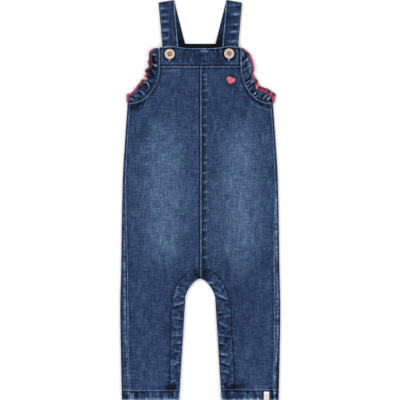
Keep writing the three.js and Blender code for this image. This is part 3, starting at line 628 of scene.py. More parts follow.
def denim_material(name, stops, grain=1.0, drift=0.03, hue=0.5):
    """Washed twill: its tone and shade, from wear and painted shade, set how pale it is, and uneven yarns and
    slubs break it up.
    """
    n = Nodes(name)
    cloth = n.field("cloth", "Vector")
    wear = n.field("wear", "Fac")
    warp = n.grain(cloth, (1.9, 17, 1))
    weft = n.grain(cloth, (15, 2.0, 1))
    fine = n.grain(cloth, (2.0, 2.3, 1), 3.0)
    blotch = n.grain(cloth, (16, 30, 1), 3.0)
    yarns = n.math("MULTIPLY", warp, 1.0 * grain)
    yarns = n.math("MULTIPLY_ADD", weft, 0.9 * grain, yarns)
    yarns = n.math("MULTIPLY_ADD", fine, 1.45 * grain, yarns)
    more = n.math("MULTIPLY_ADD", wear, 0.6, 0.9)
    total = n.math("MULTIPLY_ADD", yarns, n.math("MAXIMUM", more, 0.5), wear)
    total = n.math("MULTIPLY_ADD", blotch, 0.22, total)
    twill_inputs = {"Vector": cloth, "Scale": 0.46, "Distortion": 0.6, "Detail": 1.0, "Detail Scale": 2.0}
    twill = n.node("ShaderNodeTexWave", twill_inputs, bands_direction="DIAGONAL").outputs["Fac"]
    total = n.math("MULTIPLY_ADD", n.math("SUBTRACT", twill, 0.5), 0.16, total)
    share = n.math("MULTIPLY_ADD", total, 1 / 2.4, 1 / 2.4)
    tint = n.math("MULTIPLY_ADD", n.grain(cloth, (9, 12, 1), 1.0), drift, hue)
    shift = {"Hue": tint, "Saturation": 1.0, "Color": n.ramp(share, stops)}
    colour = n.node("ShaderNodeHueSaturation", shift).outputs[0]
    n.bump(n.math("MULTIPLY_ADD", fine, 0.8, twill), 0.00012, 0.8)
    return n.finish(colour, 0.92, Sheen_Weight=0.03, Sheen_Roughness=0.5, Specular_IOR_Level=0.1)


def thread_material(name, colour, pale):
    n = Nodes(name)
    shade = n.noise(n.place(), 1 / (0.5 * MM))
    n.bump(shade, 0.00015, 0.7)
    return n.finish(n.ramp(shade, [(0.3, colour), (0.7, pale)]), 0.75, Sheen_Weight=0.2)


def overlock_material():
    """Coral overlocking: loops of thread laid across the edge, darker between the loops. The loops value also
    holds painted highlights and painted shade along the edging.
    """
    n = Nodes("coral_overlocking")
    loops = n.field("loops", "Fac")
    shade = n.math("MULTIPLY_ADD", n.grain(n.field("cloth", "Vector"), (2, 9, 1)), 0.9, loops)
    return n.finish(n.ramp(shade, OVERLOCK_STOPS), 0.7, Sheen_Weight=0.2)


def wood_material():
    n = Nodes("pale_wood")
    grain = n.noise(n.scaled(n.place(), (900, 260, 500)), detail=4.0)
    shade = n.math("MULTIPLY_ADD", n.math("SUBTRACT", grain, 0.5), 0.3, n.field("dish", "Fac"))
    n.bump(grain, 0.00008, 0.5)
    return n.finish(n.ramp(shade, WOOD_STOPS), 0.42, Specular_IOR_Level=0.45)


def satin_material():
    """Satin stitches: pale at the heart's border and stronger in its middle, with a dark crimson outline."""
    n = Nodes("coral_satin")
    grain = n.grain(n.field("cloth", "Vector"), (0.9, 2.5, 1))
    shade = n.math("MULTIPLY_ADD", grain, 0.95, n.field("wear", "Fac"))
    return n.finish(n.ramp(shade, SATIN_STOPS), 0.6, Sheen_Weight=0.15)


def tape_material():
    """Woven tape, with one plain brown bar where its tone is low."""
    n = Nodes("woven_tape")
    cloth = n.field("cloth", "Vector")
    lines = {"Vector": cloth, "Scale": 0.8, "Distortion": 0.4}
    weave = n.node("ShaderNodeTexWave", lines, bands_direction="Y").outputs["Fac"]
    speck = n.grain(cloth, (0.7, 0.5, 1), 3.0)
    shade = n.math("MULTIPLY_ADD", speck, 0.5, n.math("MULTIPLY_ADD", weave, 0.3, n.field("wear", "Fac")))
    n.bump(weave, 0.0001, 0.6)
    return n.finish(n.ramp(shade, TAPE_STOPS), 0.8)


# Colours of each material from its darkest to its palest, with the place of each between 0 and 1
DENIM_STOPS = [
    (0, (6, 10, 20)), (0.2, (20, 31, 52)), (0.33, (33, 50, 82)), (0.42, (47, 68, 102)),
    (0.58, (73, 97, 130)), (0.75, (108, 130, 161)), (1, (170, 185, 206)),
]
FRILL_STOPS = [
    (0, (2, 8, 18)), (0.2, (12, 24, 42)), (0.33, (26, 44, 70)), (0.42, (42, 64, 92)),
    (0.58, (72, 98, 126)), (0.75, (118, 134, 162)), (1, (184, 186, 208)),
]
OVERLOCK_STOPS = [
    (0, (80, 0, 20)), (0.25, (112, 22, 50)), (0.5, (158, 66, 102)), (0.75, (206, 98, 128)),
    (1, (242, 156, 166)),
]
WOOD_STOPS = [
    (0, (48, 24, 6)), (0.28, (120, 82, 42)), (0.6, (184, 158, 122)), (0.82, (194, 184, 170)),
    (1, (210, 204, 196)),
]
SATIN_STOPS = [
    (0, (60, 0, 22)), (0.25, (106, 18, 50)), (0.5, (212, 130, 156)), (0.75, (206, 76, 98)),
    (1, (232, 90, 110)),
]
TAPE_STOPS = [(0, (138, 112, 104)), (0.4, (206, 190, 182)), (0.6, (226, 214, 214)), (1, (246, 240, 242))]
TABLE_STOPS = [(0.3, (250, 250, 250)), (0.7, (253, 253, 253))]

denim = denim_material("washed_denim", DENIM_STOPS)
frill_denim = denim_material("frill_denim", FRILL_STOPS, 0.8, 0.16, 0.507)
stitch_thread = thread_material("topstitch_thread", (74, 102, 146), (116, 142, 180))
pale_thread = thread_material("buttonhole_thread", (110, 126, 150), (158, 170, 186))
button_thread = thread_material("button_thread", (86, 54, 20), (132, 94, 50))
coral_edge = overlock_material()
wood = wood_material()

# Rows of points down each part of a panel
FINE_STEPS = {"bib": 44, "torso": 168, "crotch": 48, "leg": 84, "hem": 15}
FACING_STEPS = {**FINE_STEPS, "crotch": 90, "leg": 120}
HALF_STEPS = {"bib": 30, "torso": 100, "crotch": 30, "leg": 50, "hem": 12}

# The tone and shade below are how pale the cloth is, from the wash's wear, painted highlights and painted
# shade: 0 for plain washed denim, 1 for a white crest, -1 for a dark trough in painted shade


def mottle(seed, x, y):
    """Large and small patches of paler and darker wash."""
    patches = 0.05 * noise(seed, x / 21, y / 34) + 0.06 * noise(seed + 1, x / 7, y / 9)
    return patches + 0.06 * noise(seed + 2, x / 3.2, y / 22) + 0.06 * noise(seed + 3, x / 3.4, y / 3.6)


def lumpy(seed, x, y):
    return 1 + 0.4 * noise(seed, x / 3, y / 3)


def fades(x, y):
    """The paler wash on each side of the bib and body."""
    total = 0
    for middle_x, middle_y, low in FADES:
        down = (y - middle_y) / np.where(y > middle_y, 112, low)
        wide = 33 * (1 - 0.35 * down**2)
        total += np.exp(-np.abs((x - middle_x) / np.maximum(wide, 12)) ** 2.7 - down**6)
    rag = 1 + 0.1 * noise(31, x / 14, y / 20) + 0.1 * noise(32, x / 5, y / 6)
    return 0.36 * total * rag


def hem_pucker(x, y, side, seed):
    """Puckers below the hem's stitching, with their wear and painted shade in the groove under the stitching.
    """
    line = HEM_LINE_Y[side]
    below = smooth(y, line - 1, line - 3.5)
    lean = x + 0.12 * (y - HEM_STITCH_Y)
    wave = 0.45 * ripples(seed, lean, HEM_PUCKERS[side]) + 0.3 * ripples(seed + 5, lean, 3.9)
    wave += 0.7 * noise(seed + 6, x / 3.6, y / 6) + 0.3 * noise(seed + 7, x / 2, y / 2.4)
    edge = ridge(y - HEM_Y, 2.6)
    relief = 0.26 * wave * below * (1 - 0.6 * edge)
    # Painted shade in the groove under the hem's stitching
    groove = ridge(y - (line - 2.2), 1.0)
    wear = below * (0.7 * wave * (1 - 0.5 * groove) - 0.02) - 0.6 * groove + 0.88 * edge
    above = smooth(y, HEM_STITCH_Y + 7, HEM_STITCH_Y + 0.5) * (1 - below)
    relief += 0.12 * wave * above - 0.3 * ridge(y - HEM_STITCH_Y, 0.9)
    stitching = lerp(0.35, 0.92, smooth(np.abs(x), 52, 62)) * ridge(y - line, 0.62)
    return relief, wear + 0.2 * wave * above + stitching


def front_panel(side):
    rows = cloth_rows(side, FINE_STEPS)
    start, across, beside, d, y = across_rows(rows, "front_in", "front_out", edge_stops(70))
    x = side * d
    on_body = y < UNDERARM_Y + 1
    arm = arm_distance(d, y, side)
    seed = 100 + 50 * side

    z = front_height(d, y, side)
    wear = mottle(seed, x, y) + fades(x, y)
    wear += -0.04 - 0.07 * smooth(y, 90, 150) - 0.06 * smooth(y, -60, -110) * smooth(y, -230, -190)

    # The middle seam: a pale lapped edge on the right panel, over a pressed allowance with puckers. The dark
    # line beside the lapped edge, and the one under it on the left panel, are painted shade
    above_facing = smooth(start[:, 1], FACING_TOP_Y - 1, FACING_TOP_Y + 1)[:, None]
    if side == RIGHT:
        z += 0.6 * smooth(across, 9, 7.5) * above_facing
        blobs = sum(ridge(y - blob - 0.1 * (across - 7), 1.5) for blob in MIDDLE_BLOBS_Y)
        blobs *= 0.85 + 0.4 * noise(seed + 1, across / 3, y / 4)
        z += (0.3 * blobs - 0.2) * ridge(across - 6, 2.6) * above_facing
        wear += above_facing * lines_beside(across, (1.0, 0.7, 0.95), (2.6, 0.8, -0.7))
        gaps = np.clip(1 - blobs, 0, 1) * (0.8 + 0.4 * noise(seed + 2, y / 5))
        wear += above_facing * lines_beside(across, (7.4, 2.8, 0.7 * blobs), (5.2, 2.2, -0.5 * gaps))
    else:
        wear -= above_facing * 0.75 * ridge(across - 0.4, 1.0)

    # Puckers under the band, with painted shade just under the band's edge and below its stitched line
    under_band = BAND_SEAM_Y - y
    puckers = ripples(seed + 2, x, 7.5) * np.exp(-under_band / 7)
    z += 0.22 * puckers
    wear += 0.2 * puckers + lines_beside(under_band, (2.4, 0.9, 0.5), (4.6, 1.1, -0.55), (0.4, 0.7, -0.4))
    if side == LEFT:
        wear += 0.45 * ridge(under_band - 7.2, 0.9) * smooth(x, -22, -34)

    # The armhole's double seam, with painted shade in the groove inside each stitched line
    run = np.arctan2(BAND_SEAM_Y - y, d - BIB_HALF) * 55
    tucks = ripples(seed + 7, run, 6.5)
    in_arm = smooth(y, UNDERARM_Y - 16, UNDERARM_Y - 6)
    inside = in_arm * smooth(arm, 11.5, 9.8)
    z += inside * (0.35 + 0.14 * tucks * smooth(arm, 0, 3))
    knots = 0.65 if side == LEFT else 0.85
    patchy = 0.8 + 0.5 * noise(seed + 8, run / 5, arm / 3) + knots * noise(seed + 9, run / 1.7, arm / 3)
    wear += in_arm * patchy * lines_beside(arm, (0.8, 0.75, 0.85), (4.0, 2.1, -0.6))
    wear += in_arm * tucks * 0.3 * ridge(arm - 6.0, 4)
    if side == LEFT:
        blots = 0.9 + 0.9 * noise(seed + 23, x / 2.4, y / 2.4)
        wear -= 0.5 * blots * ridge(arm - 6.5, 5) * smooth(d, 80, 94) * in_arm
    second = smooth(d, 76, 94) * (0.1 if side == LEFT else 0.5)
    wear += in_arm * second * lines_beside(arm, (9.6, 0.9, 0.7 + 0.6 * tucks), (12.4, 1.6, -0.5))

    # The side seam: a pale edge with fine ticks beside it
    low = smooth(y, 60, -60)
    tick = ripples(seed + 11, y, 4.6)
    z += on_body * 0.1 * tick * np.exp(-beside / 6)
    pale = 0.62 + 0.5 * noise(seed + 12, y / 7) + 0.25 * noise(seed + 13, y / 2.5)
    if side == RIGHT:
        edge = 0.4
        pale *= 0.85 + 0.35 * smooth(y, 20, -30) - 0.55 * smooth(y, -190, -230)
    else:
        edge = 0.6 + 0.7 * smooth(y, -80, -110)
        pale *= 0.85 - 0.4 * smooth(y, -195, -225)
    wear += on_body * lines_beside(beside, (edge, 0.8, pale), (3.2, 1.8, -0.14))
    wear += on_body * 0.3 * tick * low * np.exp(-beside / 6)

    # The facing's seam on the panel side, with painted shade in its groove and on the cloth beside it
    beside_facing = smooth(start[:, 1], FACING_TOP_Y + 1, FACING_TOP_Y - 3)[:, None]
    drag = ripples(seed + 15, y, 11)
    z += beside_facing * 0.22 * drag * np.exp(-across / 8)
    broken = 0.7 + 0.45 * noise(seed + 16, y / 3)
    wear -= beside_facing * (0.45 * broken * ridge(across, 1.0) + 0.12 * np.exp(-across / 9))
    wear += beside_facing * 0.28 * drag * np.exp(-across / 6) * smooth(y, -160, -190)

    relief, hem_wear = hem_pucker(x, y, side, seed + 20)
    z += relief
    # Painted shade in the hollow where the facing meets the hem
    deep, reach = (5.5, 9) if side == LEFT else (8, 14)
    wear += hem_wear - 0.6 * ridge(y - HEM_CORNER_Y, deep) * ridge(across - 1, reach) * lumpy(seed + 22, x, y)
    if side == RIGHT:
        wear -= 0.5 * ridge(x - 107, 3.4) * smooth(y, -278, -284) * lumpy(88, x, y)
        # Painted shadow round the label and round the heart
        from_label = np.hypot(np.maximum(0, np.abs(x - LABEL["x"]) - 4), np.maximum(0, y - LABEL["top"]))
        wear -= 0.5 * ridge(from_label, 2.0) * smooth(y, -282, -285)
        wear -= 0.25 * smooth(np.hypot(x - HEART["x"], y - HEART["y"]), 10, 7.0)

    ends = sum(rounded(distance) for distance in (across, beside, FRONT_ARM_TOP[1] - y, y - HEM_Y))
    outer = points_from(x, y, z - np.minimum(ends, 0.6))
    inner = outer - points_from(0, 0, wall_at(y))
    flat = points_from(x, y)
    return cloth_wall(f"front_{SIDE_NAMES[side]}", outer, inner, denim, wear, flat, inner_wear=-0.6)


def facing_rows(side, steps):
    return [row for row in cloth_rows(side, steps) if "facing_in" in row]


def leg_facing(side):
    rows = facing_rows(side, FACING_STEPS)
    start, across, beside, d, y = across_rows(rows, "facing_in", "facing_out", edge_stops(14))
    x = side * d
    run = run_along(start)[:, None] + 0 * across
    seed = 300 + 50 * side
    crest, trough = creases(x, y, FACING_CREASES)
    wave = np.sin(2 * np.pi * run / 11.5)
    small = ripples(seed + 3, run + 0.5 * across, 4.4)
    flatness = smooth(y, HEM_STITCH_Y + 1.5, HEM_STITCH_Y + 15)
    level = lerp(FOLD_Z, FRONT_REST_Z + 0.65, flatness)
    relief, hem_wear = hem_pucker(x, y, side, seed)
    z = level + flatness * (0.12 * wave + 0.55 * crest - 0.3 * trough + 0.08 * small) + relief
    wear = (-0.11 if side == LEFT else -0.2) + 0.34 * noise(seed + 1, x / 3.4, y / 2.8)
    wear += 0.12 * noise(seed + 2, x / 7, y / 9) + 0.12 * small
    # Crease crests are pale from wear and their troughs are painted shade
    wear += 0.95 * crest - 0.55 * trough + hem_wear
    broken = 0.7 + 0.45 * noise(seed + 4, run / 3)
    # Painted shade in the seam's groove and along the inner edge
    wear += lines_beside(beside, (0, 0.8, -0.5 * broken), (2.2, 1.0, 0.15)) - 0.25 * ridge(across, 0.5)
    # Painted shade in the hollow at the hem's corner
    wear -= 0.7 * ridge(y - HEM_CORNER_Y, 6.5) * smooth(across, 4, 9) * lumpy(seed + 22, x, y)
    if side == RIGHT:
        on_top = smooth(start[:, 1], CROTCH_Y - 0.8, CROTCH_Y)[:, None]
        # The middle seam's pale lapped edge, with painted shade beside it
        wear += on_top * lines_beside(x, (1.0, 0.75, 1.2), (2.6, 0.9, -0.8))
    else:
        wear -= 0.6 * ridge(d - 0.8, 0.9) * ridge(y - CROTCH_SHADE_Y, 12)
    shaded = ridge(d - 6.5, 5.5) * ridge(y - CROTCH_SHADE_Y, 6.5)
    wear -= 0.6 * shaded * (1 + 0.6 * noise(seed + 5, x / 2.2, y / 2.2))
    z -= rounded(across, 0.8, 1.1) + rounded(beside, 0.45, 0.8) + rounded(y - HEM_Y)
    outer = points_from(x, y, z)
    inner = points_from(x, y, np.minimum(z - 1.0, level - HEM_WALL + 0.1))
    flat = points_from(across, run)
    return cloth_wall(f"leg_facing_{SIDE_NAMES[side]}", outer, inner, denim, wear, flat, inner_wear=-0.5)


def rolled(u, y, inside, side):
    """A point of the back, from where it is on the flat cloth and how far inside the wall it is."""
    start = fold_at(np.minimum(y, UNDERARM_Y)) - FOLD_RADIUS
    turn = np.maximum(0, u - start) / FOLD_RADIUS
    angle = np.minimum(turn, np.pi)
    radius = FOLD_RADIUS - inside
    back = np.maximum(0, u - start - np.pi * FOLD_RADIUS)
    x = np.where(turn > 0, start + radius * np.sin(angle) - back, u)
    return points_from(side * x, y, FOLD_RADIUS - radius * np.cos(angle))


def back_panel(side):
    top = []
    heights = [BACK_TOP_Y, BACK_TOP_Y - 14, BAND_SEAM_Y]
    for y in np.linspace(BACK_TOP_Y, BACK_TOP_Y - 26, 9):
        half = curve(heights, [BACK_TOP_HALF, BACK_TOP_HALF + 5.5, BACK_BIB_HALF], y)
        top.append({"back_in": (BACK_MIDDLE, y), "back_out": (float(half), y)})
    rows = top + cloth_rows(side, HALF_STEPS)
    side_y = column(rows, "back_out")[:, 1:]
    wrap = np.pi * FOLD_RADIUS
    inset = np.maximum(0.4, seam_inset(side_y, side) - GAP / 2 - FOLD_RADIUS)

    def places(length):
        """Evenly over the flat part, round the side fold, then over the strip that shows on the front."""
        flat_part = length - wrap - inset
        strip = length - inset + inset * np.array([0.15, 0.35, 0.55, 0.75, 0.88, 0.95, 1])
        turn_part = flat_part + wrap * np.linspace(0, 1, 15)[1:]
        return np.concatenate([flat_part * np.linspace(0, 1, 40), turn_part, strip], 1)

    _, across, beside, u, y = across_rows(rows, "back_in", "back_out", places)
    seed = 500 + 50 * side
    round_fold = (across - across[:, -1:] + inset) / wrap + 1
    on_top = smooth(round_fold, 0.5, 0.9) * (side_y < UNDERARM_Y + 1)
    outer = rolled(u, y, 0 * u, side)
    inner = rolled(u, y, wall_at(y), side)
    x = outer[..., 0]
    relief, hem_wear = hem_pucker(x, y, side, seed)
    tick = ripples(seed + 11, y, 5.5)
    outer[..., 2] += on_top * (relief + 0.08 * tick - rounded(beside, 0.35, 0.6))
    outer[..., 2] = np.maximum(outer[..., 2], 0)
    wear = mottle(seed, x, y) + 0.02 + on_top * (-0.1 + 0.24 * tick + 0.22 * noise(seed + 4, x / 2, y / 7))
    # Painted shade at the seam where the strip meets the front
    wear -= 0.1 * on_top * ridge(beside, 0.7)
    low = smooth(y, -30, -110) if side == RIGHT else smooth(y, -15, -70)
    patchy = 0.7 + 0.5 * noise(seed + 6, y / 8) + 0.2 * noise(seed + 7, y / 2.5)
    from_fold = fold_at(y) - np.abs(x)
    # Painted shade where the cloth turns away round the side fold
    wear -= smooth(round_fold, 0.3, 0.45) * (0.4 + 0.3 * low) * ridge(from_fold, 1.7)
    if side == LEFT:
        away = curve([-300, -262, -240, -216, -200, 0], [0.3, 0.3, 0.5, 1.4, 2.5, 2.5], y)
        strength = 0.86 - 0.34 * smooth(y, -125, -95)
        wear += on_top * low * strength * patchy * ridge(beside - away, 0.95)
        wear += 0.16 * on_top * smooth(y, 25, -25) * smooth(y, -140, -90)
    else:
        away = curve([-300, -264, -240, -210, 145], [6.9, 6.7, 5.6, 3.7, 3.7], y)
        strength = smooth(y, 75, 35) * (0.86 - 0.15 * smooth(y, -230, -260))
        wear += on_top * (strength * patchy * ridge(from_fold - away, 1.2) - 0.08 * low)
        wear += on_top * smooth(y, 30, -20) * 0.3 * ridge(beside - 0.6, 1.3)
        wear -= on_top * 0.3 * smooth(y, -235, -260) * ridge(from_fold - 2.7, 1.8)
    from_top = BACK_TOP_Y - y
    wear += 0.9 * hem_wear + lines_beside(from_top, (8, 1.0, 0.2), (9.6, 0.9, -0.2))
    # The inside of the back, seen between the straps, is painted dark as shade, with a faint paler line
    inside_wear = -1.2 + 0.3 * ridge(from_top - 3.0, 0.9)
    flat = points_from(u * side, y)
    return cloth_wall(f"back_{SIDE_NAMES[side]}", outer, inner, denim, wear, flat, inside_wear, "denim_back")


def bib_band():
    x = np.concatenate([[-62.2, -62.0, -61.7], np.linspace(-61.2, 61.2, 170), [61.7, 62.0, 62.2]])
    share = np.array([0, 0.01, 0.025, 0.045, *np.linspace(0.07, 0.93, 30), 0.955, 0.975, 0.99, 1])
    x, share = np.meshgrid(x, share)
    bottom = BAND_SEAM_Y + GAP / 2
    y = lerp(bottom, band_top(x), share)
    from_top, from_bottom, from_end = band_top(x) - y, y - bottom, BIB_HALF - np.abs(x)
    crest, trough = creases(x, y, BAND_CREASES)
    wave = ripples(700, x, 6.2)
    z = band_height(x) + 0.3 * crest - 0.2 * trough
    z += 0.14 * wave * (np.exp(-from_bottom / 5) + 0.7 * np.exp(-from_top / 6))
    # Crease crests are paler and their troughs are painted shade
    wear = 2.1 * mottle(701, x, y) - 0.24 + 1.3 * crest - 0.5 * trough + 0.12 * ripples(702, x, 5)
    wear += 0.15 * noise(703, x / 2.2, y / 3.5) + 0.2 * smooth(np.abs(x), 34, 50)
    wear += lines_beside(from_top, (0.8, 0.9, 0.75), (2.9, 1.0, -0.6))
    wear += 0.2 * wave * (np.exp(-from_top / 8) + np.exp(-from_bottom / 5))
    # Painted shade in the groove of the band's lower seam
    wear += lines_beside(from_bottom, (0.2, 0.9, -0.5), (2.2, 0.8, 0.25))
    patchy = 0.8 + 0.5 * noise(704 + (x > 0), y / 2.2)
    wear += lines_beside(from_end, (1.0, 0.85, 0.8 * patchy), (4.0, 1.1, -0.8))
    # A painted shadow round each button, a little below it
    for button_x, button_y in BUTTONS.values():
        ring = np.hypot(x - button_x, (y - button_y + 0.7) * 0.95)
        wear -= 0.75 * ridge(ring - 8.5, 1.6)
        z -= 0.25 * ridge(ring - 9.5, 2.0)
    wear += lines_beside(x, (1.0, 0.9, 0.2), (-1.0, 1.0, -0.16))
    z -= rounded(from_top, 0.7, 0.9) + rounded(from_bottom, 0.5, 0.7) + rounded(from_end, 0.5, 0.7)
    outer = points_from(x, y, z)
    inner = points_from(x, y, band_height(x) - BAND_WALL)
    return cloth_wall("bib_band", outer, inner, denim, wear, points_from(x, y), inner_wear=-0.6)


def strap_path(side):
    """The strap's middle line and outward direction, from the back's top over the fold and down the front."""
    slope = math.radians((STRAP["front"] + STRAP["back"]) / 2)
    radius = (STRAP_WALL + GAP) / 2
    outer_radius = radius + STRAP_WALL / 2
    highest = STRAP_ROUNDING_AT * STRAP["half"] * math.sin(slope) + outer_radius * math.cos(slope)
    fold_y = STRAP_FOLD_Y - highest
    outwards = np.array([side * math.sin(slope), math.cos(slope), 0])
    edgeways = np.array([-side * math.cos(slope), math.sin(slope), 0])
    points, ups = [], []

    def leg(heights, degrees, layer):
        for y in heights:
            x = STRAP["fold_x"] - (fold_y - y) * math.tan(math.radians(degrees))
            climb = (DENIM + GAP) * smooth(-y, -STRAP_CLIMB["from"], -STRAP_CLIMB["to"])
            points.append((side * x, y, STRAP_WALL / 2 + climb + layer * 2 * radius))
            ups.append((0, 0, 1 if layer else -1))

    leg(np.linspace(STRAP["back_end"], STRAP_STRAIGHT_Y, STRAP_STEPS["back"]), STRAP["back"], 0)
    for angle in np.linspace(-math.pi / 2, math.pi / 2, STRAP_STEPS["fold"]):
        up = outwards * math.cos(angle) + np.array([0, 0, math.sin(angle)])
        centre = np.array([side * STRAP["fold_x"], fold_y, STRAP_WALL / 2 + radius])
        points.append(tuple(centre + radius * up))
        ups.append(tuple(up))
    leg(np.linspace(STRAP_STRAIGHT_Y, STRAP["front_end"], STRAP_STEPS["front"]), STRAP["front"], 1)
    return np.array(points), np.array(ups), edgeways


def strap(side):
    points, ups, edgeways = strap_path(side)
    share = np.concatenate([[-1, -0.985, -0.96, -0.92], np.linspace(-0.86, 0.86, 17), [0.92, 0.96, 0.985, 1]])
    run = run_along(points)
    half = STRAP["half"]
    edge = half * (1 - np.abs(share))
    middle = points[:, None] + share[None, :, None] * half * edgeways
    x, y = middle[..., 0], middle[..., 1]
    on_front = (np.arange(len(points)) >= STRAP_FRONT_POINT)[:, None]
    crest, below = np.zeros_like(x), np.zeros_like(x)
    # Each crease is pale on its crest, with painted shade in a band below it
    for crease_x, crease_y, reach, strength in STRAP_CREASES[side]:
        away = x - crease_x
        spread = ridge(away, reach) ** 0.7
        crest = np.maximum(crest, strength * spread * ridge(y - crease_y - 0.1 * away, 1.9))
        below = np.maximum(below, strength * ridge(away, reach + 2) * ridge(y - crease_y + 4.2, 2.4))
    small = ripples(800 + side, run, 5.0)[:, None] * np.exp(-edge / 3)
    swell = on_front * (0.3 * crest + 0.07 * small)
    drop = rounded(edge, 0.55, 0.9)
    outer = middle + ups[:, None] * (STRAP_WALL / 2 + swell - drop)[..., None]
    inner = middle - ups[:, None] * (STRAP_WALL / 2 - drop)[..., None]
    outer_side, inner_side = half * (1 + share), half * (1 - share)
    wear = 2.3 * mottle(810 + side, x, y) - (0.11 if side == LEFT else 0.23) + 0.14 * small
    # The fold over the strap's top is darkened as painted shade
    front = crest - 0.35 * below - 0.6 * ridge(y - STRAP_FOLD_Y, 2.6)
    front += lines_beside(inner_side, (1.0, 0.62, 1.0), (3.0, 1.0, -0.3))
    front += lines_beside(outer_side, (0.6, 1.1, -0.8), (2.4, 0.7, 0.2))
    wear += on_front * front
    # The back part of the strap, inside its fold, is painted dark as shade, darkest where it meets the back's
    # top
    back_inside = (-0.56 if side == LEFT else -0.46) - 0.75 * smooth(y, 242.5, 237)
    back_inside += lines_beside(inner_side, (0, 1.6, -0.2), (3.2, 1.1, 0.16)) + 1.8 * mottle(820 + side, x, y)
    inner_wear = np.where(on_front, -0.4, back_inside)
    flat = points_from(share * half, run[:, None])
    return cloth_wall(f"strap_{SIDE_NAMES[side]}", outer, inner, denim, wear, flat, inner_wear)


class Frill:
    """A frill's middle surface, from the armhole's seam to its free edge."""

    def __init__(self, side):
        self.side = side
        self.table = FRILLS[side]
        self.turns = np.linspace(0, 1, 401)
        self.quarter = armhole(self.turns, FRONT_ARM_TOP, front_underarm(side))
        self.run = run_along(self.quarter)
        self.band_side = float(band_top(BIB_HALF)) - 1 - FRONT_ARM_TOP[1]
        self.total = self.band_side + self.run[-1] + FRILL_END[side]["past"]

    def leaned(self, distance, share):
        """Distance along the pleats, which slant down to the seam in the upper half of the right frill."""
        return distance + (12 * share * smooth(distance, 62, 42) if self.side == RIGHT else 0)

    def point(self, distance, share):
        along = distance - self.band_side
        past = np.maximum(0, along - self.run[-1])
        turn = np.interp(along, self.run, self.turns)
        x = np.interp(turn, self.turns, self.quarter[:, 0]) + past
        y = np.interp(turn, self.turns, self.quarter[:, 1]) + np.maximum(0, -along)
        angle = np.radians(90 * turn)
        at = distance / self.total * self.table["at"][-1]
        reach = curve(self.table["at"], self.table["reach"], at) * share + FRILL_SEAM_GAP
        on_band = float(band_height(BIB_HALF)) - BAND_WALL / 2
        seam_z = np.where(along < 0, on_band, front_height(x, y, self.side) - DENIM / 2)
        lift = curve(self.table["at"], self.table["lift"], at) * np.maximum(share, 0) ** 1.15
        fan = FRILL_END[self.side]["fan"] * share * smooth(distance, self.total - 14, self.total)
        pleats = self.leaned(distance, share)
        gathers = GATHERS["high"] * ridge(share - GATHERS["share"], GATHERS["spread"])
        gathers = gathers * smooth(share, 0, GATHERS["share"]) * np.sin(2 * np.pi * pleats / GATHERS["pitch"])
        fine = 0.18 * ripples(900 + self.side, pleats, 4.1)
        gathers = gathers + fine * ridge(share - 0.2, 0.2) * smooth(share, 0, 0.06)
        z = lerp(seam_z, seam_z * 0.9, share) + lift + gathers
        return points_from(self.side * (x + np.cos(angle) * reach + fan), y + np.sin(angle) * reach, z)

    def normal(self, distance, share):
        tiny = 0.02
        along = self.point(distance + tiny, share) - self.point(distance - tiny, share)
        out = self.point(distance, share + tiny) - self.point(distance, share - tiny)
        normal = unit(np.cross(along, out))
        return np.where(normal[..., 2:] < 0, -normal, normal)


def frill(side):
    form = Frill(side)
    lengthways = np.linspace(0.02, form.total - 0.02, 420)
    distance, share = np.meshgrid(lengthways, np.linspace(0, 0.97, 26), indexing="ij")
    middle = form.point(distance, share)
    normal = form.normal(distance, share)
    crest, trough = creases(middle[..., 0], middle[..., 1], FRILL_FOLDS[side])
    pleats = form.leaned(distance, share)
    root = 0.5 * ripples(900 + side, pleats, 4.1) + 0.5 * np.sin(2 * np.pi * pleats / GATHERS["pitch"])
    streaks = noise(910 + side, pleats / 3.0, share * 2) + 0.5 * noise(920 + side, pleats / 1.5, share * 4)
    if side == LEFT:
        wear = 0.05 - 0.14 * smooth(distance, 85, 65)
    else:
        wear = 0.14 * smooth(distance, 62, 42) - 0.04
    # Painted light: paler where the frill faces up and on its crests; painted shade in its troughs and along
    # the seam at its root
    wear += 0.25 * (streaks - 1 + normal[..., 2]) + 1.3 * crest - 1.1 * trough
    wear += lines_beside(share, (0.2, 0.16, 0.24 * root), (0, 0.08, -0.5))
    middle += normal * (0.5 * crest - 0.7 * trough)[..., None]
    outer, inner = middle + normal * FRILL_WALL / 2, middle - normal * FRILL_WALL / 2
    flat = points_from(pleats, share * 22)
    name = f"frill_{SIDE_NAMES[side]}"
    return cloth_wall(name, outer, inner, frill_denim, wear, flat, slot="frill_cloth"), form


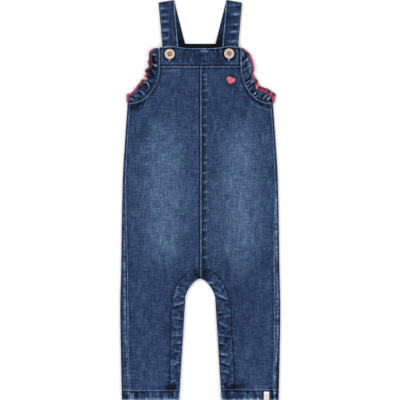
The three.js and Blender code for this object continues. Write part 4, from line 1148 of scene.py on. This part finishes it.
def frill_edge(side, form):
    """Coral overlocking along the frill's free edge and its lower end."""
    along = np.linspace(0.3, form.total - 0.3, 620)
    down_end = np.linspace(OVERLOCK_AT, 0.06, 60)[1:]
    distance = np.concatenate([along, np.full_like(down_end, form.total - 0.5)])
    share = np.concatenate([np.full_like(along, OVERLOCK_AT), down_end])
    on_end = np.arange(len(share)) >= len(along)
    path, normal = form.point(distance, share), form.normal(distance, share)
    outward = unit(path - form.point(distance - 0.5 * on_end, share - 0.05 * ~on_end))
    for _ in range(6):
        outward[1:-1] = (outward[:-2] + outward[1:-1] + outward[2:]) / 3
    outward = unit(outward)
    run = run_along(path)
    spokes = 12
    turns = np.linspace(0, 2 * np.pi, spokes, endpoint=False)
    loops = 0.5 + 0.5 * np.sin(2 * np.pi * run[:, None] / LOOP_PITCH + 0.9 * np.sin(turns))

    # Where the light catches it, the thread also stands up a little
    patchy = 0.26 * noise(940 + side, run / 5)
    raised = (0.1 if side == LEFT else 0.0) + patchy + 0.12 * noise(945 + side, run / 2)
    for x, y, reach, patch in EDGE_PATCHES[side]:
        raised += patch * ridge(np.hypot(path[:, 0] - x, path[:, 1] - y), reach)
    lumps = 0.25 + 0 * run
    if side == RIGHT:
        lumps = 2.4 * smooth(path[:, 0], 82, 90) * smooth(path[:, 1], 148, 154)
        lumps = 0.35 + lumps * (0.75 + 0.25 * ripples(946, run, 6))
    lumps -= 0.5 * smooth(run, run[-1] - 14, run[-1] - 9)
    path -= outward * (0.15 + 0.9 * np.maximum(lumps, 0) + (0.85 if side == RIGHT else 0))[:, None]
    wide = (1.9 + lumps + 0.35 * np.clip(raised, 0, 0.8))[:, None] + 0.14 * loops
    thick = 0.85 + 0.12 * loops
    ring = outward[:, None] * (np.cos(turns) * wide)[..., None]
    ring += normal[:, None] * (np.sin(turns) * thick)[..., None]
    points = path[:, None] + ring
    points[..., 2] = np.maximum(points[..., 2], 0.05)

    # Painted highlights and painted shade from the edging's patches, and painted shade on the side that turns
    # in towards the frill
    shade = 0.1 + patchy[:, None] + 0.2 * noise(945 + side, run[:, None] / 2, np.sin(turns / 2) * 2)
    for x, y, reach, patch in EDGE_PATCHES[side]:
        away = np.hypot(points[..., 0] - x, points[..., 1] - y)
        shade += patch * (2.1 if patch < 0 else 1.25) * ridge(away, 1.1 * reach)
    shade = 0.56 + 0.36 * (loops - 0.5) + 0.5 * shade - 0.46 * (0.5 - 0.5 * np.cos(turns))
    flat = points_from(run[:, None], turns, 0).reshape(-1, 3)
    name = f"frill_edge_{SIDE_NAMES[side]}"
    faces = lidded_faces(len(path), spokes)
    fields = {"loops": shade.ravel(), "cloth": flat}
    return add_mesh(name, points.reshape(-1, 3), faces, coral_edge, "frill_cloth", **fields)


def button(name):
    """A turned button with a rim, a dish and four holes, and the bars of thread in its holes."""
    turn = math.radians(BUTTON_TURNS[name])
    middle = np.array([*BUTTONS[name], BAND_STRAP_Z + GAP])
    square = HOLE_AT * np.array([(1, 1), (1, -1), (-1, -1), (-1, 1)])
    holes = square @ np.array([(math.cos(turn), math.sin(turn)), (-math.sin(turn), math.cos(turn))])
    radii = BUTTON_RADIUS * np.concatenate([np.linspace(0, 0.9, 44)[1:], [0.93, 0.96, 0.985, 1]])
    angle = np.linspace(0, 2 * np.pi, 72, endpoint=False)
    R, A = np.meshgrid(radii, angle, indexing="ij")

    def pits(start, end):
        away = (np.hypot(R * np.cos(A) - x, R * np.sin(A) - y) for x, y in holes)
        return np.clip(sum(smooth(distance, start, end) for distance in away), 0, 1)

    profile = curve([0, 3.9, 4.9, 6.0, 6.9, 7.3, 7.6], [2.1, 2.15, 2.35, 3.0, 2.85, 2.4, 1.6], R)
    profile -= 1.7 * pits(1.05, 0.75)
    rings = [(R, A, profile)]
    for inset, high in ((0, 0.9), (0.3, 0.35), (1.1, 0)):
        rings.append((np.full((1, 72), BUTTON_RADIUS - inset), angle[None], np.full((1, 72), high)))
    r, a, z = (np.concatenate(values) for values in zip(*rings))
    points = points_from(r * np.cos(a), r * np.sin(a), z).reshape(-1, 3)
    points = middle + np.concatenate([points, [(0, 0, 2.1), (0, 0, 0)]])
    # The dish is darker in its middle; its groove ring, its holes and its outer edge are darkened as painted
    # shade
    dish = 0.84 - 0.2 * smooth(R, 5.0, 3.6) - 0.1 * ridge(R - 4.9, 0.5)
    dish -= 0.8 * pits(1.35, 0.95) + 0.08 * smooth(R, 6.8, 7.6)
    dish = np.concatenate([dish.ravel(), np.full(3 * len(angle), 0.6), [0.48, 0.6]])
    faces = domed_faces(len(r), len(angle), turned=True)
    add_mesh(f"{name}_wood", points, faces, wood, "button_wood", replaces=name, dish=dish)
    bars = []
    for start, end in ((0, 1), (3, 2)):
        for shift in (-0.25, 0.25):
            a, b = (middle + (holes[k][0] + shift, holes[k][1], 1.6) for k in (start, end))
            bars.append((a, b, 1.0))
    return bars


def lozenges(name, segments, thickness, material):
    """Stitches and other short threads: a thin lozenge between two points for each, bowed upwards."""
    points, faces = [], []
    turns = [k * math.pi / 3 for k in range(6)]
    stations = ((0.0, 0.25), (0.2, 0.85), (0.5, 1.0), (0.8, 0.85), (1.0, 0.25))
    for start, end, bow in segments:
        start, end = Vector(start), Vector(end)
        along = (end - start).normalized()
        side = along.cross(Vector((0, 0, 1))).normalized()
        up = side.cross(along)
        faces += lidded_faces(len(stations), len(turns), len(points))
        for t, wide in stations:
            centre = start.lerp(end, t) + up * bow * 4 * t * (1 - t)
            for turn in turns:
                offset = side * math.cos(turn) + up * math.sin(turn) * 0.75
                points.append(tuple(centre + offset * thickness / 2 * wide))
    return add_mesh(name, np.array(points), faces, material, "denim")


fronts = {side: front_panel(side) for side in SIDES}
facings = {side: leg_facing(side) for side in SIDES}
backs = {side: back_panel(side) for side in SIDES}
band = bib_band()
straps = {side: strap(side) for side in SIDES}
frills = {side: frill(side) for side in SIDES}
edges = {side: frill_edge(side, frills[side][1]) for side in SIDES}
button_bars = [bar for name in BUTTONS for bar in button(name)]


def top_finder(*pieces):
    """A function that gives the height of the uppermost face at a place."""
    points, faces = [], []
    for piece in pieces:
        start = len(points)
        points.extend(vertex.co / MM for vertex in piece.data.vertices)
        faces.extend([start + k for k in polygon.vertices] for polygon in piece.data.polygons)
    tree = BVHTree.FromPolygons(points, faces)

    def height(x, y):
        hit = tree.ray_cast(Vector((x, y, 60)), Vector((0, 0, -1)))[0]
        return None if hit is None else hit.z

    return height


top_height = top_finder(*fronts.values(), *facings.values(), *backs.values(), band, *straps.values())
right_front_height = top_finder(fronts[RIGHT])


def stitch_line(line, pitch=2.9, stitch=2.2, sunk=0.02):
    """Stitches along a line over the garment's upper face."""
    line = np.asarray(line, float)
    run = run_along(line)
    segments = []
    for at in np.arange(pitch / 2, run[-1] - stitch, pitch):
        ends = []
        for distance in (at, at + stitch):
            x, y = np.interp(distance, run, line[:, 0]), np.interp(distance, run, line[:, 1])
            z = top_height(x, y)
            if z is not None:
                ends.append((x, y, z - sunk))
        if len(ends) == 2 and abs(ends[0][2] - ends[1][2]) < 0.8:
            segments.append((*ends, 0.12))
    return segments


def topstitching():
    segments = []
    for side in SIDES:
        segments += stitch_line([(side * 1.6, UNDER_BAND_STITCH_Y), (side * 60.5, UNDER_BAND_STITCH_Y)])
        last = facing_rows(side, HALF_STEPS)[-1]
        hem_ends = (last["facing_in"][0] + 0.8, last["front_out"][0] + 8)
        segments += stitch_line([(side * x, HEM_LINE_Y[side]) for x in hem_ends])
        turn = np.linspace(0, 1, 60)
        arm = armhole(turn, FRONT_ARM_TOP, front_underarm(side))
        angle = np.radians(90 * turn)
        inward = points_from(-np.cos(angle), -np.sin(angle))
        for inset, first in ((0.9, 0),) if side == LEFT else ((0.9, 0), (9.6, 36)):
            line = (arm + inset * inward)[first:]
            segments += stitch_line(line * (side, 1))
        ys = np.linspace(UNDERARM_Y - 3, HEM_STITCH_Y + 3, 120)
        xs = fold_at(ys) - seam_inset(ys, side) - GAP / 2 - (0.7 if side == RIGHT else 1.0)
        segments += stitch_line(points_from(side * xs, ys))
        for inset in (1.0, 5.5) if side == RIGHT else (1.0, 4.6):
            x = side * (BIB_HALF - inset)
            segments += stitch_line([(x, BAND_SEAM_Y + 1.5), (x, BAND_TOP_Y - 0.5)])
        points, _, edgeways = strap_path(side)
        for share in (STRAP_STITCH_AT, -STRAP_STITCH_AT):
            line = points[STRAP_FRONT_POINT:] + share * STRAP["half"] * edgeways
            line = line[line[:, 1] > float(band_top(side * 45)) + 0.5]
            segments += stitch_line(line[:, :2])
    segments += stitch_line([(1.1, BAND_SEAM_Y - 2), (1.1, FACING_TOP_Y + 1)])
    segments += stitch_line([(1.1, FACING_TOP_Y - 1), (1.1, CROTCH_Y + 1)])
    xs = np.linspace(-BIB_HALF + 2, BIB_HALF - 2, 90)
    segments += stitch_line(points_from(xs, band_top(xs) - 1.2))
    lozenges("topstitching", segments, THREAD_THICK["stitch"], stitch_thread)


def buttonhole_ends():
    """The lower end of each buttonhole, which shows under its button."""
    segments = []
    for x, y in BUTTONS.values():
        x -= 0.4
        for k in range(7):
            low_y = y - BUTTON_RADIUS - 3.0 + 0.42 * k
            reach = 0.9 + 0.14 * k
            z = top_height(x, low_y) + 0.1
            segments.append(((x - reach, low_y, z), (x + reach, low_y, z), 0.15))
    lozenges("buttonholes", segments, THREAD_THICK["buttonhole"], pale_thread)


def heart():
    """A padded heart of satin stitches with a dark border."""
    rings = [*np.linspace(0, 0.84, 17)[1:], 0.86, 0.88, 0.9, 0.94, 0.98, 1.03, 1.08, 1.13, 1.18]
    rings = np.array(rings)[:, None]
    turns = np.linspace(0, 2 * np.pi, 96, endpoint=False)
    size = HEART["wide"] / 32
    ox = 16 * np.sin(turns) ** 3 * size
    oy = (13 * np.cos(turns) - 5 * np.cos(2 * turns) - 2 * np.cos(3 * turns) - np.cos(4 * turns) + 2.5) * size
    ox = lerp(ox, 16 * np.sin(turns) * size, HEART["plump"])
    oy = HEART["squat"] * lerp(oy, 16 * np.cos(turns) * size, HEART["plump"])
    tilt = math.radians(HEART["tilt"])
    x = HEART["x"] + rings * (ox * math.cos(tilt) - oy * math.sin(tilt))
    y = HEART["y"] + rings * (ox * math.sin(tilt) + oy * math.cos(tilt))
    base = np.array([[right_front_height(a, b) for a, b in zip(*row)] for row in np.stack([x, y], 1)])
    across = (x - HEART["x"]) * math.cos(0.5) + (y - HEART["y"]) * math.sin(0.5)
    ribs = 0.5 + 0.5 * np.sin(2 * np.pi * across / 0.75)
    border = smooth(rings, 0.86, 0.9) + 0 * x
    rise = np.maximum(HEART["thick"] * (1 - 0.8 * rings**5), 0.08) - 0.06 * border
    top = points_from(x, y, base + 0.1 + rise + 0.1 * ribs)
    low = points_from(x[-1], y[-1], base[-1] + 0.05)
    middle_z = right_front_height(HEART["x"], HEART["y"]) + 0.1 + HEART["thick"]
    ends = [(HEART["x"], HEART["y"], middle_z), (HEART["x"], HEART["y"], base.min())]
    points = np.concatenate([top.reshape(-1, 3), low, ends])
    # The notch between the heart's lobes is darkened as painted shade
    notch = np.hypot(x - x[-4, 3], y - y[-4, 3])
    wear = 0.88 - 0.36 * smooth(rings, 0.42, 0.78) - 0.33 * border - 0.8 * ridge(notch, 1.9)
    wear = np.concatenate([wear.ravel(), np.full(len(turns), 0.05), [0.95, 0.05]])
    faces = domed_faces(len(rings) + 1, len(turns))
    fields = {"wear": wear, "cloth": points}
    add_mesh("heart_satin", points, faces, satin_material(), "coral_stitching", replaces="heart", **fields)


def hem_label():
    xs = LABEL["x"] + LABEL["wide"] * np.linspace(-0.5, 0.5, 17)
    x, y = np.meshgrid(xs, np.linspace(LABEL["top"], LABEL["bottom"], 25))
    rows = np.stack([x, y + 0.05], 1)
    base = np.array([[right_front_height(a, b) or FOLD_Z for a, b in zip(*row)] for row in rows])
    base = lerp(base, base.mean(), 0.6)
    from_side = LABEL["wide"] / 2 - np.abs(x - LABEL["x"])
    edge = np.minimum(from_side, np.minimum(LABEL["top"] - y, y - LABEL["bottom"]))
    outer = points_from(x, y, base + 0.3 + LABEL["thick"] - rounded(edge, 0.25, 0.4))
    inner = points_from(x, y, base + 0.12)
    bar = smooth(np.abs(x - LABEL["x"]), 1.0, 0.4) * smooth(np.abs(y - LABEL["bar"]), 1.9, 1.2)
    wear = 0.55 + 0.2 * smooth(y, -289.5, -288.5) - 0.5 * bar
    flat = points_from(x, y)
    cloth_wall("hem_label", outer, inner, tape_material(), wear, flat, slot="woven_tape", ending="tape")


topstitching()
lozenges("button_threads", button_bars, THREAD_THICK["button"], button_thread)
buttonhole_ends()
heart()
hem_label()

# A pale table, soft light from the upper left and a camera straight above
bpy.ops.mesh.primitive_plane_add(size=8, location=(0, 0, 0))
table = bpy.context.object
table.name = "table"
table_nodes = Nodes("pale_table")
mist = table_nodes.noise(table_nodes.place(), 3.0)
table.data.materials.append(table_nodes.finish(table_nodes.ramp(mist, TABLE_STOPS), 0.9))


def area_light(name, place, size, power):
    light = bpy.data.lights.new(name, "AREA")
    light.size = size
    light.energy = power
    lamp = bpy.data.objects.new(name, light)
    lamp.location = place
    lamp.rotation_euler = (-Vector(place)).to_track_quat("-Z", "Y").to_euler()
    bpy.context.scene.collection.objects.link(lamp)


area_light("key", (-1.3, 1.4, 1.9), 2.0, 28)
area_light("fill", (1.8, -0.6, 2.2), 2.2, 18)

world = bpy.data.worlds.new("studio")
world.use_nodes = True
background = world.node_tree.nodes["Background"]
background.inputs[0].default_value = (1, 1, 1, 1)
background.inputs[1].default_value = 0.78
bpy.context.scene.world = world
bpy.context.scene.view_settings.view_transform = "Standard"
bpy.context.scene.view_settings.look = "None"

# The camera's frame is as high as the garment is long, at the height of its upper face
CAMERA_HIGH = 6.0
FRAME_HIGH = 0.6
FRAME_Z = 0.003
camera = bpy.data.objects.new("camera", bpy.data.cameras.new("camera"))
camera.data.sensor_width = 36
camera.data.lens = 36 * (CAMERA_HIGH - FRAME_Z) / FRAME_HIGH
camera.location = (-0.0004, 0, CAMERA_HIGH)
bpy.context.scene.collection.objects.link(camera)
bpy.context.scene.camera = camera
